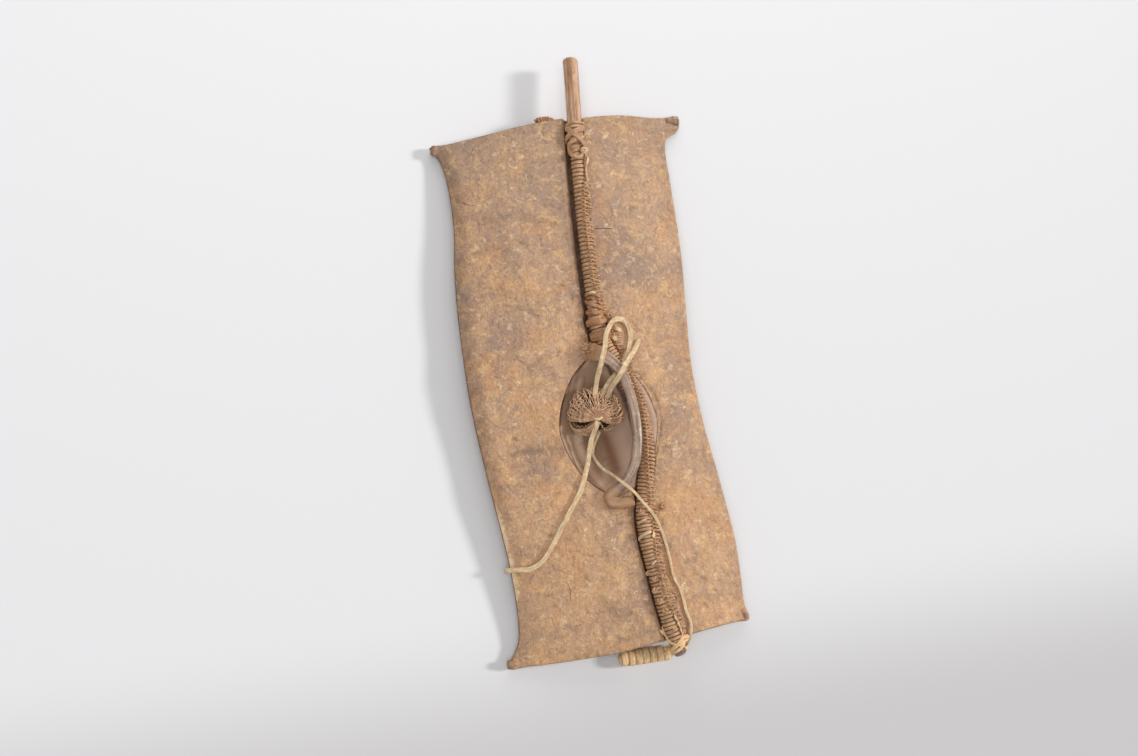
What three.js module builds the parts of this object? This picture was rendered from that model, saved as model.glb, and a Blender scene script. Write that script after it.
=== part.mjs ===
// A rectangular hide shield lying face down: one stiff hide, moulded over a bent wooden stave that is
// laced along its back, with a hand recess, a grip of rolled hide, a pompom and loose thongs.
// Millimetres. X runs across the shield, Y along it towards the bare end of the stave, Z up to the grip.
import * as THREE from "three";

// The hide.
const HIDE_LENGTH = 816;
const HIDE_WIDTH = 352;
const HIDE_THICKNESS = 6.5;
const LEFT_FALL = 22;
const RIGHT_FALL = 12;
const END_FALL = 8;
const SHOULDER_RISE = 3;
const SHOULDER_ROUND = 9;
const SHOULDER_DROOP = 4;
const RIGHT_STEP = 6;
const TIP_BULGE = 9;
const TIP_SPREAD = 14;
const FOURTH_TIP_LIFT = 3;
const PANEL_CURVE = 1.8;

// The hand recess, whose dome the shield rests on.
const RECESS_WIDTH = 152;
const RECESS_LENGTH = 218;
const RECESS_DEPTH = 50;
const RECESS_POINT = 1.7;
const RECESS_LEFT_LIP = 0.75;
const RECESS_RIGHT_LIP = 2.2;
const DOME_WEAR = 1.2;

// The stave and what is wound on it.
const STAVE_TOP_RADIUS = 12;
const STAVE_FOOT_RADIUS = 10;
const STAVE_OVERHANG = 96;
const STAVE_TAIL = 26;
const LACING_CORD = 2.8;
const LACING_PITCH = 9;
const HITCH_RISE = 2.6;
const WINDING_CORD = 6.5;
const WINDING_PITCH = 15;
const WINDING_TURNS = 3;
const WINDINGS_SHARE = 0.225;
const LASHED_GAP = 6;
const LACING_TOP_INSET = 12;
const LACING_FOOT_INSET = 6;
const GROOVE_EASE = 12;

// The grip.
const GRIP_WIDTH = 15;
const GRIP_THICKNESS = 7.5;

// The pompom.
const POMPOM_WIDTH = 90;
const POMPOM_LENGTH = 78;
const POMPOM_HEIGHT = 56;
const POMPOM_RELIEF = 3.5;

// The thongs, and the roll of thong at the foot.
const THONG_WIDTH = 7.5;
const THIN_THONG_WIDTH = 4.6;
const THONG_THICKNESS = 2.2;
const ROLL_LENGTH = 74;
const ROLL_RADIUS = 12;
const ROLL_TURN = 11;
const ROLL_GROOVE = 1.2;
const KNOT_LENGTH = 30;
const KNOT_RADIUS = 6;

// Pieces that touch keep this much between them.
const CLEARANCE = 0.3;
const FACET_SLACK = 0.8;

// Outlines: shares of half the hide's length, then of half its width.
const LEFT_EDGE = [
  [-1, -1.0],
  [-0.965, -0.955],
  [-0.91, -0.89],
  [-0.8, -0.868],
  [-0.62, -0.885],
  [-0.3, -0.965],
  [0, -1.022],
  [0.3, -1.022],
  [0.5, -0.995],
  [0.66, -0.95],
  [0.82, -0.945],
  [0.93, -0.975],
  [1, -1.045],
];
const RIGHT_EDGE = [
  [-1, 1.085],
  [-0.95, 1.062],
  [-0.85, 1.065],
  [-0.7, 1.062],
  [-0.45, 1.0],
  [-0.2, 0.935],
  [0, 0.915],
  [0.2, 0.945],
  [0.45, 0.985],
  [0.75, 1.0],
  [0.915, 1.03],
  [0.945, 1.15],
  [1, 1.175],
];
// Shares of half the width, then of half the length.
const TOP_EDGE = [
  [-1.05, 0.965],
  [-0.7, 0.972],
  [-0.2, 0.993],
  [0.25, 1.0],
  [0.65, 0.998],
  [0.95, 0.982],
  [1.18, 0.98],
];
const FOOT_EDGE = [
  [-1.02, -0.995],
  [-0.7, -1.0],
  [-0.1, -0.998],
  [0.2, -0.983],
  [0.5, -0.972],
  [0.8, -0.957],
  [1.07, -0.945],
];
// The bent stave: shares of half the length, then of half the width.
const STAVE_BEND = [
  [-1.03, 0.426],
  [-0.944, 0.38],
  [-0.833, 0.34],
  [-0.72, 0.312],
  [-0.62, 0.287],
  [-0.53, 0.288],
  [-0.44, 0.325],
  [-0.323, 0.392],
  [-0.213, 0.403],
  [-0.098, 0.369],
  [0.02, 0.273],
  [0.137, 0.165],
  [0.252, 0.131],
  [0.407, 0.131],
  [0.544, 0.142],
  [0.691, 0.159],
  [0.838, 0.182],
  [1.027, 0.227],
  [1.238, 0.267],
];
const RECESS_CENTRE = [0.116, -0.176];
// Shares of half the recess's width, between which its left lip turns into its right lip.
const RECESS_LIP_TURN = [-0.3, 0.6];
// How far past the hide's edge its surface is carried on.
const PAST_EDGE = 1.2;

const HALF_LENGTH = HIDE_LENGTH / 2;
const HALF_WIDTH = HIDE_WIDTH / 2;
const STAVE_HEIGHT = HIDE_THICKNESS + RECESS_DEPTH - SHOULDER_RISE;

// A smooth curve through knots [t, value], straight beyond both ends.
function through(knots) {
  const slope = knots.map((knot, i) => {
    const before = knots[Math.max(i - 1, 0)];
    const after = knots[Math.min(i + 1, knots.length - 1)];
    return (after[1] - before[1]) / (after[0] - before[0]);
  });
  return (t) => {
    const last = knots.length - 1;
    if (t <= knots[0][0]) return knots[0][1] + slope[0] * (t - knots[0][0]);
    if (t >= knots[last][0]) return knots[last][1] + slope[last] * (t - knots[last][0]);
    let i = 0;
    while (t > knots[i + 1][0]) i += 1;
    const span = knots[i + 1][0] - knots[i][0];
    const u = (t - knots[i][0]) / span;
    const rise = u * u * (3 - 2 * u);
    return knots[i][1] * (1 - rise) + knots[i + 1][1] * rise
      + span * slope[i] * u * (1 - u) * (1 - u) - span * slope[i + 1] * u * u * (1 - u);
  };
}

const leftShare = through(LEFT_EDGE);
const rightShare = through(RIGHT_EDGE);
const topShare = through(TOP_EDGE);
const footShare = through(FOOT_EDGE);
const staveShare = through(STAVE_BEND);

const clamp = THREE.MathUtils.clamp;
const smooth = THREE.MathUtils.smoothstep;
const topEdge = (x) => HALF_LENGTH * topShare(x / HALF_WIDTH);
const footEdge = (x) => HALF_LENGTH * footShare(x / HALF_WIDTH);
const staveX = (y) => HALF_WIDTH * staveShare(y / HALF_LENGTH);
const staveZ = (y) => STAVE_HEIGHT - END_FALL * (y / HALF_LENGTH) ** 2;
const STAVE_TOP_Y = topEdge(staveX(HALF_LENGTH)) + STAVE_OVERHANG;
const STAVE_FOOT_Y = footEdge(staveX(-HALF_LENGTH)) - STAVE_TAIL;

function staveRadius(y) {
  const share = (y - STAVE_FOOT_Y) / (STAVE_TOP_Y - STAVE_FOOT_Y);
  return STAVE_FOOT_RADIUS + (STAVE_TOP_RADIUS - STAVE_FOOT_RADIUS) * share;
}

// Where the grip is bound to the stave, between the two lengths of lacing.
const WINDINGS_TOP = WINDINGS_SHARE * HALF_LENGTH;
const WINDINGS_FOOT = WINDINGS_TOP - WINDING_PITCH * WINDING_TURNS;
const lacedRadius = (y) => staveRadius(y) + CLEARANCE + LACING_CORD;
const woundRadius = (y) => staveRadius(y) + CLEARANCE + WINDING_CORD;

// The groove that the hide makes for the wound stave widens under the thick windings.
function grooveRadius(y) {
  const near = smooth(y, WINDINGS_FOOT - GROOVE_EASE, WINDINGS_FOOT)
    * (1 - smooth(y, WINDINGS_TOP, WINDINGS_TOP + GROOVE_EASE));
  return lacedRadius(y) + (WINDING_CORD - LACING_CORD) * near + CLEARANCE + FACET_SLACK;
}

// How far a point is from the stave's axis, square to it, to the right positive.
function acrossStave(x, y) {
  const lean = (staveX(y + 1) - staveX(y - 1)) / 2;
  return (x - staveX(y)) / Math.hypot(1, lean);
}

const recessX = RECESS_CENTRE[0] * HALF_WIDTH;
const recessY = RECESS_CENTRE[1] * HALF_LENGTH;
function recessFall(x, y) {
  const dx = Math.abs(x - recessX) / (RECESS_WIDTH / 2);
  const dy = Math.abs(y - recessY) / (RECESS_LENGTH / 2);
  const reach = (dx ** RECESS_POINT + dy ** RECESS_POINT) ** (1 / RECESS_POINT);
  if (reach >= 1) return 0;
  const side = smooth((x - recessX) / (RECESS_WIDTH / 2), ...RECESS_LIP_TURN);
  const lip = RECESS_LEFT_LIP + (RECESS_RIGHT_LIP - RECESS_LEFT_LIP) * side;
  return RECESS_DEPTH * (1 - reach * reach) ** lip;
}

const TIPS = [
  [HALF_WIDTH * leftShare(1), topEdge(HALF_WIDTH * leftShare(1)), 0],
  [HALF_WIDTH * leftShare(-1), footEdge(HALF_WIDTH * leftShare(-1)), 0],
  [HALF_WIDTH * rightShare(1), topEdge(HALF_WIDTH * rightShare(1)), 0],
  [HALF_WIDTH * rightShare(-1), footEdge(HALF_WIDTH * rightShare(-1)), FOURTH_TIP_LIFT],
];

// The extra thickness of the rolled corner tips.
function tipBulge(x, y) {
  return TIPS.reduce((sum, [tx, ty]) => {
    const away = ((x - tx) ** 2 + (y - ty) ** 2) / TIP_SPREAD ** 2;
    return sum + TIP_BULGE * Math.exp(-away);
  }, 0);
}

// The panels each side of the stave, before their corners are drawn down.
function panelLevel(x, y) {
  const off = acrossStave(x, y);
  const along = y / HALF_LENGTH;
  const groove = grooveRadius(y);
  if (off < 0) {
    const reach = staveX(y) - HALF_WIDTH * leftShare(along) - groove;
    const out = clamp((-off - groove) / reach, 0, PAST_EDGE);
    const round = clamp(1 - (-off - groove) / SHOULDER_ROUND, 0, 1);
    return staveZ(y) + SHOULDER_RISE - LEFT_FALL * out ** PANEL_CURVE - SHOULDER_DROOP * round * round;
  }
  const reach = HALF_WIDTH * rightShare(along) - staveX(y) - groove;
  const out = clamp((off - groove) / reach, 0, PAST_EDGE);
  return staveZ(y) - RIGHT_STEP - RIGHT_FALL * out ** PANEL_CURVE;
}

// The recess's dome is worn flat where it rests, and each corner comes down until its tip is level with it.
const REST_LEVEL = panelLevel(recessX, recessY) - RECESS_DEPTH - HIDE_THICKNESS + DOME_WEAR;
const tipFall = TIPS.map(([x, y, lift]) => {
  return panelLevel(x, y) - HIDE_THICKNESS - TIP_BULGE / 2 - lift - REST_LEVEL;
});

function cornerFall(x, y) {
  const off = acrossStave(x, y);
  const end = Math.abs(y / HALF_LENGTH) ** 4;
  const edge = off < 0 ? leftShare(y / HALF_LENGTH) : rightShare(y / HALF_LENGTH);
  const out = clamp(off / (HALF_WIDTH * edge - staveX(y)), 0, PAST_EDGE);
  const tip = (off < 0 ? 0 : 2) + (y < 0 ? 1 : 0);
  return tipFall[tip] * end * out * out;
}

// The height of the hide's upper face.
function hideTop(x, y) {
  const off = acrossStave(x, y);
  const groove = grooveRadius(y);
  const level = panelLevel(x, y) - cornerFall(x, y) - recessFall(x, y) + tipBulge(x, y) / 2;
  if (Math.abs(off) >= groove) return level;
  return Math.min(level, staveZ(y) - Math.sqrt(groove * groove - off * off));
}

const UP = new THREE.Vector3(0, 0, 1);
const at = (x, y, z) => new THREE.Vector3(x, y, z);

// A named mesh of one closed body, with its faces turned outwards.
function piece(name, points, faces, colour, roughness) {
  const volume = faces.reduce((sum, [a, b, c]) => {
    return sum + points[a].dot(at(0, 0, 0).crossVectors(points[b], points[c]));
  }, 0);
  const index = faces.flatMap(([a, b, c]) => (volume < 0 ? [a, c, b] : [a, b, c]));
  const geometry = new THREE.BufferGeometry().setFromPoints(points).setIndex(index);
  return finish(name, geometry, colour, roughness);
}

function finish(name, geometry, colour, roughness) {
  const material = new THREE.MeshStandardMaterial({ color: colour, roughness, metalness: 0 });
  const mesh = new THREE.Mesh(geometry, material);
  mesh.name = name;
  return mesh;
}

// Rings of points joined in turn. A loop closes on its first ring, and any other has flat ends.
function loft(rings, loop) {
  const sides = rings[0].length;
  const points = rings.flat();
  const faces = [];
  const joins = loop ? rings.length : rings.length - 1;
  for (let i = 0; i < joins; i += 1) {
    for (let j = 0; j < sides; j += 1) {
      const a = i * sides + j;
      const b = i * sides + ((j + 1) % sides);
      const c = ((i + 1) % rings.length) * sides + j;
      const d = ((i + 1) % rings.length) * sides + ((j + 1) % sides);
      faces.push([a, b, d], [a, d, c]);
    }
  }
  if (loop) return { points, faces };
  for (const [first, turned] of [[0, true], [(rings.length - 1) * sides, false]]) {
    const middle = at(0, 0, 0);
    for (let j = 0; j < sides; j += 1) middle.add(points[first + j]);
    points.push(middle.divideScalar(sides));
    for (let j = 0; j < sides; j += 1) {
      const a = first + j;
      const b = first + ((j + 1) % sides);
      faces.push(turned ? [points.length - 1, b, a] : [points.length - 1, a, b]);
    }
  }
  return { points, faces };
}

// The hide: rows along the shield, and columns that keep to the stave and the recess's left lip.
const ROW_SPANS = [
  [-1, -0.9, 4],
  [-0.9, -0.48, 5],
  [-0.48, 0.12, 14],
  [0.12, 0.28, 3],
  [0.28, 0.9, 5],
  [0.9, 1, 4],
];
const OUTER_COLUMNS = 5;
const INNER_COLUMNS = 7;
const RIGHT_COLUMNS = 5;
const GROOVE_COLUMNS = [-1.6, -1.28, -1.04, -0.9, -0.6, -0.2, 0.2, 0.6, 0.9, 1.3];
const FOLD_REACH = 3;
const RIGHT_SPREAD = 1.2;
const RIM_ROUND = 0.4;

function hideRows() {
  const rows = [-1];
  for (const [from, to, count] of ROW_SPANS) {
    for (let i = 1; i <= count; i += 1) rows.push(from + ((to - from) * i) / count);
  }
  return rows;
}

function hideColumns(along) {
  const y = along * HALF_LENGTH;
  const left = HALF_WIDTH * leftShare(along);
  const right = HALF_WIDTH * rightShare(along);
  const groove = grooveRadius(y);
  const first = staveX(y) + groove * GROOVE_COLUMNS[0];
  const last = staveX(y) + groove * GROOVE_COLUMNS[GROOVE_COLUMNS.length - 1];
  const dy = Math.min(Math.abs(y - recessY) / (RECESS_LENGTH / 2), 1);
  const lip = recessX - (RECESS_WIDTH / 2) * (1 - dy ** RECESS_POINT) ** (1 / RECESS_POINT);
  const fold = Math.min(lip, first - FOLD_REACH * groove);
  const columns = [];
  for (let i = 0; i < OUTER_COLUMNS; i += 1) columns.push(left + ((fold - left) * i) / OUTER_COLUMNS);
  for (let i = 0; i < INNER_COLUMNS; i += 1) columns.push(fold + ((first - fold) * i) / INNER_COLUMNS);
  for (const share of GROOVE_COLUMNS) columns.push(staveX(y) + groove * share);
  for (let i = 1; i <= RIGHT_COLUMNS; i += 1) {
    columns.push(last + (right - last) * (i / RIGHT_COLUMNS) ** RIGHT_SPREAD);
  }
  return columns;
}

function hidePoint(x, along) {
  const share = (along + 1) / 2;
  const y = footEdge(x) * (1 - share) + topEdge(x) * share;
  const step = HIDE_THICKNESS;
  const tiltX = (hideTop(x + step, y) - hideTop(x - step, y)) / (2 * step);
  const tiltY = (hideTop(x, y + step) - hideTop(x, y - step)) / (2 * step);
  const top = at(x, y, hideTop(x, y));
  const down = at(tiltX, tiltY, -1).normalize().multiplyScalar(HIDE_THICKNESS + tipBulge(x, y));
  const under = top.clone().add(down);
  under.z = Math.max(under.z, REST_LEVEL);
  return { top, under };
}

function makeHide() {
  const grid = hideRows().map((along) => hideColumns(along).map((x) => hidePoint(x, along)));
  const rows = grid.length;
  const columns = grid[0].length;
  const points = grid.flatMap((row) => row.flatMap((p) => [p.top, p.under]));
  const top = (r, c) => 2 * (r * columns + c);
  const under = (r, c) => top(r, c) + 1;
  const rimAt = new Map();
  const rim = (r, c) => {
    const key = r * columns + c;
    if (!rimAt.has(key)) {
      const inner = grid[clamp(r, 1, rows - 2)][clamp(c, 1, columns - 2)];
      const middle = grid[r][c].top.clone().add(grid[r][c].under).divideScalar(2);
      const out = middle.clone().sub(inner.top).setZ(0).normalize();
      const round = grid[r][c].top.distanceTo(grid[r][c].under) * RIM_ROUND;
      rimAt.set(key, points.push(middle.addScaledVector(out, round)) - 1);
    }
    return rimAt.get(key);
  };
  const faces = [];
  const quad = (a, b, c, d) => faces.push([a, b, c], [a, c, d]);
  for (let r = 0; r < rows - 1; r += 1) {
    for (let c = 0; c < columns - 1; c += 1) {
      quad(top(r, c), top(r, c + 1), top(r + 1, c + 1), top(r + 1, c));
      quad(under(r, c), under(r + 1, c), under(r + 1, c + 1), under(r, c + 1));
    }
  }
  const edge = [];
  for (let c = 0; c < columns - 1; c += 1) edge.push([0, c]);
  for (let r = 0; r < rows - 1; r += 1) edge.push([r, columns - 1]);
  for (let c = columns - 1; c > 0; c -= 1) edge.push([rows - 1, c]);
  for (let r = rows - 1; r > 0; r -= 1) edge.push([r, 0]);
  edge.forEach((here, i) => {
    const next = edge[(i + 1) % edge.length];
    quad(top(...next), top(...here), rim(...here), rim(...next));
    quad(rim(...next), rim(...here), under(...here), under(...next));
  });
  return piece("hide_panel", points, faces, 0xbd9a78, 0.8);
}

// A point round the stave's axis at a height along the shield.
function roundStave(y, angle, radius) {
  const lean = (staveX(y + 1) - staveX(y - 1)) / 2;
  const fall = (staveZ(y + 1) - staveZ(y - 1)) / 2;
  const along = at(lean, 1, fall).normalize();
  const side = at(0, 0, 0).crossVectors(along, UP).normalize();
  const up = at(0, 0, 0).crossVectors(side, along);
  return at(staveX(y), y, staveZ(y))
    .addScaledVector(side, radius * Math.cos(angle))
    .addScaledVector(up, radius * Math.sin(angle));
}

const STAVE_SIDES = 8;
const sideAngle = (j) => ((j + 0.5) * 2 * Math.PI) / STAVE_SIDES;

function ringRoundStave(y, radiusAt) {
  const ring = [];
  for (let j = 0; j < STAVE_SIDES; j += 1) ring.push(roundStave(y, sideAngle(j), radiusAt(j)));
  return ring;
}

// The stave and what is wound on it share their rings' places, so that they bend as one.
const STAVE_STEP = 28;
const END_BEVEL = 2.5;
const LACING_TOP = topEdge(staveX(HALF_LENGTH)) - LACING_TOP_INSET;
const LACING_FOOT = footEdge(staveX(-HALF_LENGTH)) + LACING_FOOT_INSET;
const UPPER_LACING_FOOT = WINDINGS_TOP + LASHED_GAP;
const LOWER_LACING_TOP = WINDINGS_FOOT - LASHED_GAP;
function staveLevels(from, to) {
  const levels = [from, to, LACING_TOP, LACING_FOOT, UPPER_LACING_FOOT, LOWER_LACING_TOP];
  levels.push(WINDINGS_TOP, WINDINGS_FOOT);
  for (let y = STAVE_FOOT_Y + STAVE_STEP; y < STAVE_TOP_Y - STAVE_STEP / 2; y += STAVE_STEP) {
    levels.push(y);
  }
  return [...new Set(levels)].filter((y) => y >= from && y <= to).sort((a, b) => a - b);
}

function makeStave() {
  const rings = [ringRoundStave(STAVE_FOOT_Y - END_BEVEL, () => STAVE_FOOT_RADIUS - END_BEVEL)];
  for (const y of staveLevels(STAVE_FOOT_Y, STAVE_TOP_Y)) {
    rings.push(ringRoundStave(y, () => staveRadius(y)));
  }
  rings.push(ringRoundStave(STAVE_TOP_Y + END_BEVEL / 2, () => STAVE_TOP_RADIUS - END_BEVEL));
  const { points, faces } = loft(rings, false);
  return piece("stave", points, faces, 0x8f6a4f, 0.5);
}

// Cord wound round the stave: a crest for each turn, and a hitch on each at the upper right.
const LUMPS = [
  { along: 0.86, side: 0, rise: 7, spread: 9 },
  { along: -0.9, side: 0, rise: 3, spread: 12 },
  { along: -0.83, side: 1, rise: 3, spread: 9 },
  { along: -0.5, side: 0, rise: 6, spread: 7 },
];

function lumpRise(y, j) {
  return LUMPS.reduce((sum, lump) => {
    const away = (y - lump.along * HALF_LENGTH) / lump.spread;
    return sum + (lump.side === j ? lump.rise * Math.exp(-away * away) : 0);
  }, 0);
}

const CREST_SHARE = 0.3;
const VALLEY_SHARE = 0.45;
function makeWrap(name, fromY, toY, { cord, pitch, hitch, colour }) {
  const turns = Math.max(2, Math.round((toY - fromY) / pitch));
  const outer = [];
  const inner = staveLevels(fromY, toY).map((y) => ringRoundStave(y, () => staveRadius(y) + CLEARANCE));
  const ringAt = (y, rise, knot) => ringRoundStave(y, (j) => {
    const bump = j === 0 ? knot : 0;
    return staveRadius(y) + CLEARANCE + rise + bump + (cord === LACING_CORD ? lumpRise(y, j) : 0);
  });
  for (let i = 0; i <= 2 * turns; i += 1) {
    const y = fromY + ((toY - fromY) * i) / (2 * turns);
    const crest = i % 2 === 1;
    outer.push(ringAt(y, crest ? cord : cord * VALLEY_SHARE, crest ? hitch : hitch * CREST_SHARE));
  }
  const { points, faces } = loft([...outer, ...inner.reverse()], true);
  return piece(name, points, faces, colour, 0.6);
}

// A band along a route, flat side up, with its edges rounded.
const BAND_SECTION = [
  [0.5, 0.2],
  [0.32, 0.5],
  [-0.32, 0.5],
  [-0.5, 0.2],
  [-0.5, -0.2],
  [-0.32, -0.5],
  [0.32, -0.5],
  [0.5, -0.2],
];

const STEEPEST = 0.3;
class FlatRoute extends THREE.CatmullRomCurve3 {
  // Frames that keep a band's flat side up along its route.
  computeFrenetFrames(segments) {
    const frames = { tangents: [], normals: [], binormals: [] };
    let side = at(0, 0, 0).crossVectors(UP, this.getTangentAt(0));
    for (let i = 0; i <= segments; i += 1) {
      const tangent = this.getTangentAt(i / segments);
      const level = at(0, 0, 0).crossVectors(UP, tangent);
      if (level.length() > STEEPEST && level.dot(side) > 0) side = level;
      side = side.clone().addScaledVector(tangent, -side.dot(tangent)).normalize();
      frames.tangents.push(tangent);
      frames.normals.push(side);
      frames.binormals.push(at(0, 0, 0).crossVectors(tangent, side));
    }
    return frames;
  }
}

// Routes are drawn on a hide of this size and spread with it. Their heights are over the stave's middle.
const DRAWN_LENGTH = 816;
const DRAWN_WIDTH = 352;
function spread(route) {
  return route.map(([x, y, rise]) => {
    return at((x * HIDE_WIDTH) / DRAWN_WIDTH, (y * HIDE_LENGTH) / DRAWN_LENGTH, STAVE_HEIGHT + rise);
  });
}

function makeBand(name, route, width, thickness, steps, colour, roughness) {
  const section = new THREE.Shape(
    BAND_SECTION.map(([x, y]) => new THREE.Vector2(x * width, y * thickness)),
  );
  const extrudePath = new FlatRoute(spread(route), false, "centripetal");
  const geometry = new THREE.ExtrudeGeometry(section, { steps, bevelEnabled: false, extrudePath });
  return finish(name, geometry, colour, roughness);
}

// Routes across the shield: the middle of each band or thong, and its rise over the stave's axis.
const GRIP_ROUTE = [
  [2, 42, 7],
  [10, 38, 12.5],
  [20, 32, 19.5],
  [34, 20, 22],
  [46, 2, 23],
  [53, -24, 23.5],
  [56, -52, 24],
  [56, -82, 24],
  [53, -110, 23],
  [45, -135, 21],
  [33, -157, 16],
  [17, -171, 9],
  [3, -177, 4.8],
  [-6, -185, 4.4],
  [1, -193, 4.6],
  [14, -196, 5.2],
  [26, -196, 5.5],
  [34, -195, 5.7],
];
const GRIP_STEPS = 30;

// The pompom is pulled in at its knot, which faces up and towards the foot.
const POMPOM_KNOT = [-0.03, -0.55, 0.83];
const POMPOM_PLACE = [1, -50];
const POMPOM_DETAIL = 5;
const POMPOM_RIDGES = 15;
const POMPOM_DIMPLE = 0.2;
const DIMPLE_SPREAD = 0.45;
const POMPOM_CLEFT = 0.1;
const CLEFT_SPREAD = 0.35;
function makePompom() {
  const knot = at(...POMPOM_KNOT).normalize();
  const across = at(1, 0, 0).addScaledVector(knot, -knot.x).normalize();
  const around = at(0, 0, 0).crossVectors(knot, across);
  const ball = new THREE.IcosahedronGeometry(1, POMPOM_DETAIL);
  const spots = ball.getAttribute("position");
  let lift = 0;
  for (let i = 0; i < spots.count; i += 1) {
    const way = at(0, 0, 0).fromBufferAttribute(spots, i).normalize();
    const lean = Math.acos(clamp(way.dot(knot), -1, 1));
    const turn = Math.atan2(way.dot(around), way.dot(across));
    const half = [POMPOM_WIDTH, POMPOM_LENGTH, POMPOM_HEIGHT].map((size) => size / 2);
    const fan = Math.sin(lean) * Math.cos(POMPOM_RIDGES * turn) * POMPOM_RELIEF / half[0];
    const dimple = POMPOM_DIMPLE * Math.exp(-((lean / DIMPLE_SPREAD) ** 2));
    const aside = (turn + Math.PI / 2) / CLEFT_SPREAD;
    const cleft = POMPOM_CLEFT * Math.exp(-aside * aside) * Math.sin(lean) ** 2;
    way.multiplyScalar(1 - POMPOM_RELIEF / half[0] + fan - dimple - cleft);
    const [px, py] = [POMPOM_PLACE[0] + way.x * half[0], POMPOM_PLACE[1] + way.y * half[1]];
    spots.setXYZ(i, px, py, way.z * half[2]);
    lift = Math.max(lift, hideTop(px, py) - way.z * half[2]);
  }
  ball.translate(0, 0, lift + CLEARANCE + FACET_SLACK);
  return finish("pompom", ball, 0xa9835f, 0.9);
}

// A turned body along X, by rings of [x, radius], with its axis at a place and one flat side down.
const TURNED_SIDES = 10;
const UPRIGHT = -Math.PI / 2 + Math.PI / TURNED_SIDES;
function makeTurned(name, profile, place, colour) {
  const rings = profile.map(([x, radius]) => {
    const ring = [];
    for (let j = 0; j < TURNED_SIDES; j += 1) {
      const angle = (j * 2 * Math.PI) / TURNED_SIDES + UPRIGHT;
      ring.push(at(place.x + x, place.y + radius * Math.cos(angle), place.z + radius * Math.sin(angle)));
    }
    return ring;
  });
  const { points, faces } = loft(rings, false);
  return piece(name, points, faces, colour, 0.8);
}

const ROLL_PLACE = [-14, -419];
const ROLL_TAPER = 8;
const ROLL_END = 0.6;
const ROLL_EASE = 0.2;
function makeRoll() {
  const floorShare = Math.cos(Math.PI / TURNED_SIDES);
  const profile = [[0, ROLL_RADIUS * ROLL_END]];
  const turns = Math.round((ROLL_LENGTH - ROLL_TAPER) / ROLL_TURN);
  const turn = (ROLL_LENGTH - ROLL_TAPER) / turns;
  for (let i = 0; i < turns; i += 1) {
    const from = ROLL_TAPER + i * turn;
    profile.push([from, ROLL_RADIUS - ROLL_GROOVE]);
    profile.push([from + turn * ROLL_EASE, ROLL_RADIUS]);
    profile.push([from + turn * (1 - ROLL_EASE), ROLL_RADIUS]);
  }
  profile.push([ROLL_LENGTH, ROLL_RADIUS - ROLL_GROOVE]);
  const place = at(ROLL_PLACE[0], ROLL_PLACE[1], REST_LEVEL + ROLL_RADIUS * floorShare);
  return makeTurned("thong_roll", profile, place, 0xc9ae86);
}

const KNOT_PLACE_SHARE = -0.035;
const KNOT_PROUD = 0.75;
const KNOT_BLUNT = 1.06;
function makeKnot() {
  const x = HALF_WIDTH * KNOT_PLACE_SHARE;
  const half = KNOT_LENGTH / 2;
  const profile = [];
  for (const share of [-1, -0.75, -0.25, 0.25, 0.75, 1]) {
    profile.push([half * share, KNOT_RADIUS * Math.sqrt(KNOT_BLUNT - share * share)]);
  }
  const y = topEdge(x) + KNOT_RADIUS * (2 * KNOT_PROUD - 1);
  const under = hideTop(x, topEdge(x)) - HIDE_THICKNESS;
  const place = at(x, y, under - KNOT_RADIUS - CLEARANCE);
  return makeTurned("edge_knot", profile, place, 0x6b4a34);
}

const LOOP_ROUTE = [
  [4, -24, 10],
  [7, -12, 12],
  [10, -1, 17],
  [15, 12, 24],
  [22, 30, 27.6],
  [27, 43, 26.5],
  [32, 61, 22.5],
  [40, 74, 17],
  [49, 83, 7],
  [60, 86, -1.5],
  [69, 81, -4.4],
  [73, 70, -5],
  [73, 59, -5],
  [70, 46, -3.8],
  [66, 36, 2],
  [60, 26, 10.5],
  [54, 16, 15.6],
  [48, 8, 16.4],
  [40, 1, 16],
  [31, -6, 13.5],
  [24, -14, 9.8],
  [18, -22, 7.6],
];
const END_ROUTE = [
  [23, -29, 9.5],
  [28, -20, 16],
  [34, -13, 24],
  [41, -5, 29],
  [47, 3, 29.8],
  [53, 11, 28.8],
  [59, 18, 24],
  [66, 26, 16],
  [73, 33, 7.5],
  [80, 43, -0.5],
  [86, 51, -5.2],
];
const EDGE_ROUTE = [
  [-3, -76, 6.6],
  [-7, -84, 3.5],
  [-11, -92, 1],
  [-15, -105, -1.5],
  [-20, -122, -2],
  [-26, -138, -0.4],
  [-33, -154, 0.8],
  [-40, -168, -0.2],
  [-56, -190, -2.3],
  [-71, -211, -4.8],
  [-87, -234, -8.3],
  [-99, -250, -11],
  [-112, -262, -14.1],
  [-128, -268, -17.7],
  [-142, -267, -20.4],
  [-152, -266, -21.6],
  [-160.8, -265.5, -25.2],
  [-163.5, -265, -32.5],
  [-163.5, -264.5, -39.5],
];
const LONG_ROUTE = [
  [-2, -91, -7],
  [-8, -102, -9],
  [-10, -112, -9.5],
  [-6, -124, -8.5],
  [1, -136, -5],
  [12, -148, 6],
  [20, -158, 17],
  [28, -167, 20.6],
  [40, -180, 16.6],
  [52, -198, 14.6],
  [58, -206, 13.6],
  [65, -217, 8.5],
  [70, -226, 1],
  [74, -237, -6.2],
  [77, -248, -7.6],
  [81, -282, -8.4],
  [83, -308, -9.2],
  [91, -334, -10.4],
  [94, -360, -11.4],
  [98, -382, -11.2],
  [96.5, -394, -11.1],
  [94, -403, -16.5],
  [87, -413, -25],
  [78, -419, -34],
  [68, -420.5, -39.5],
  [62, -420.5, -41],
];

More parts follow.
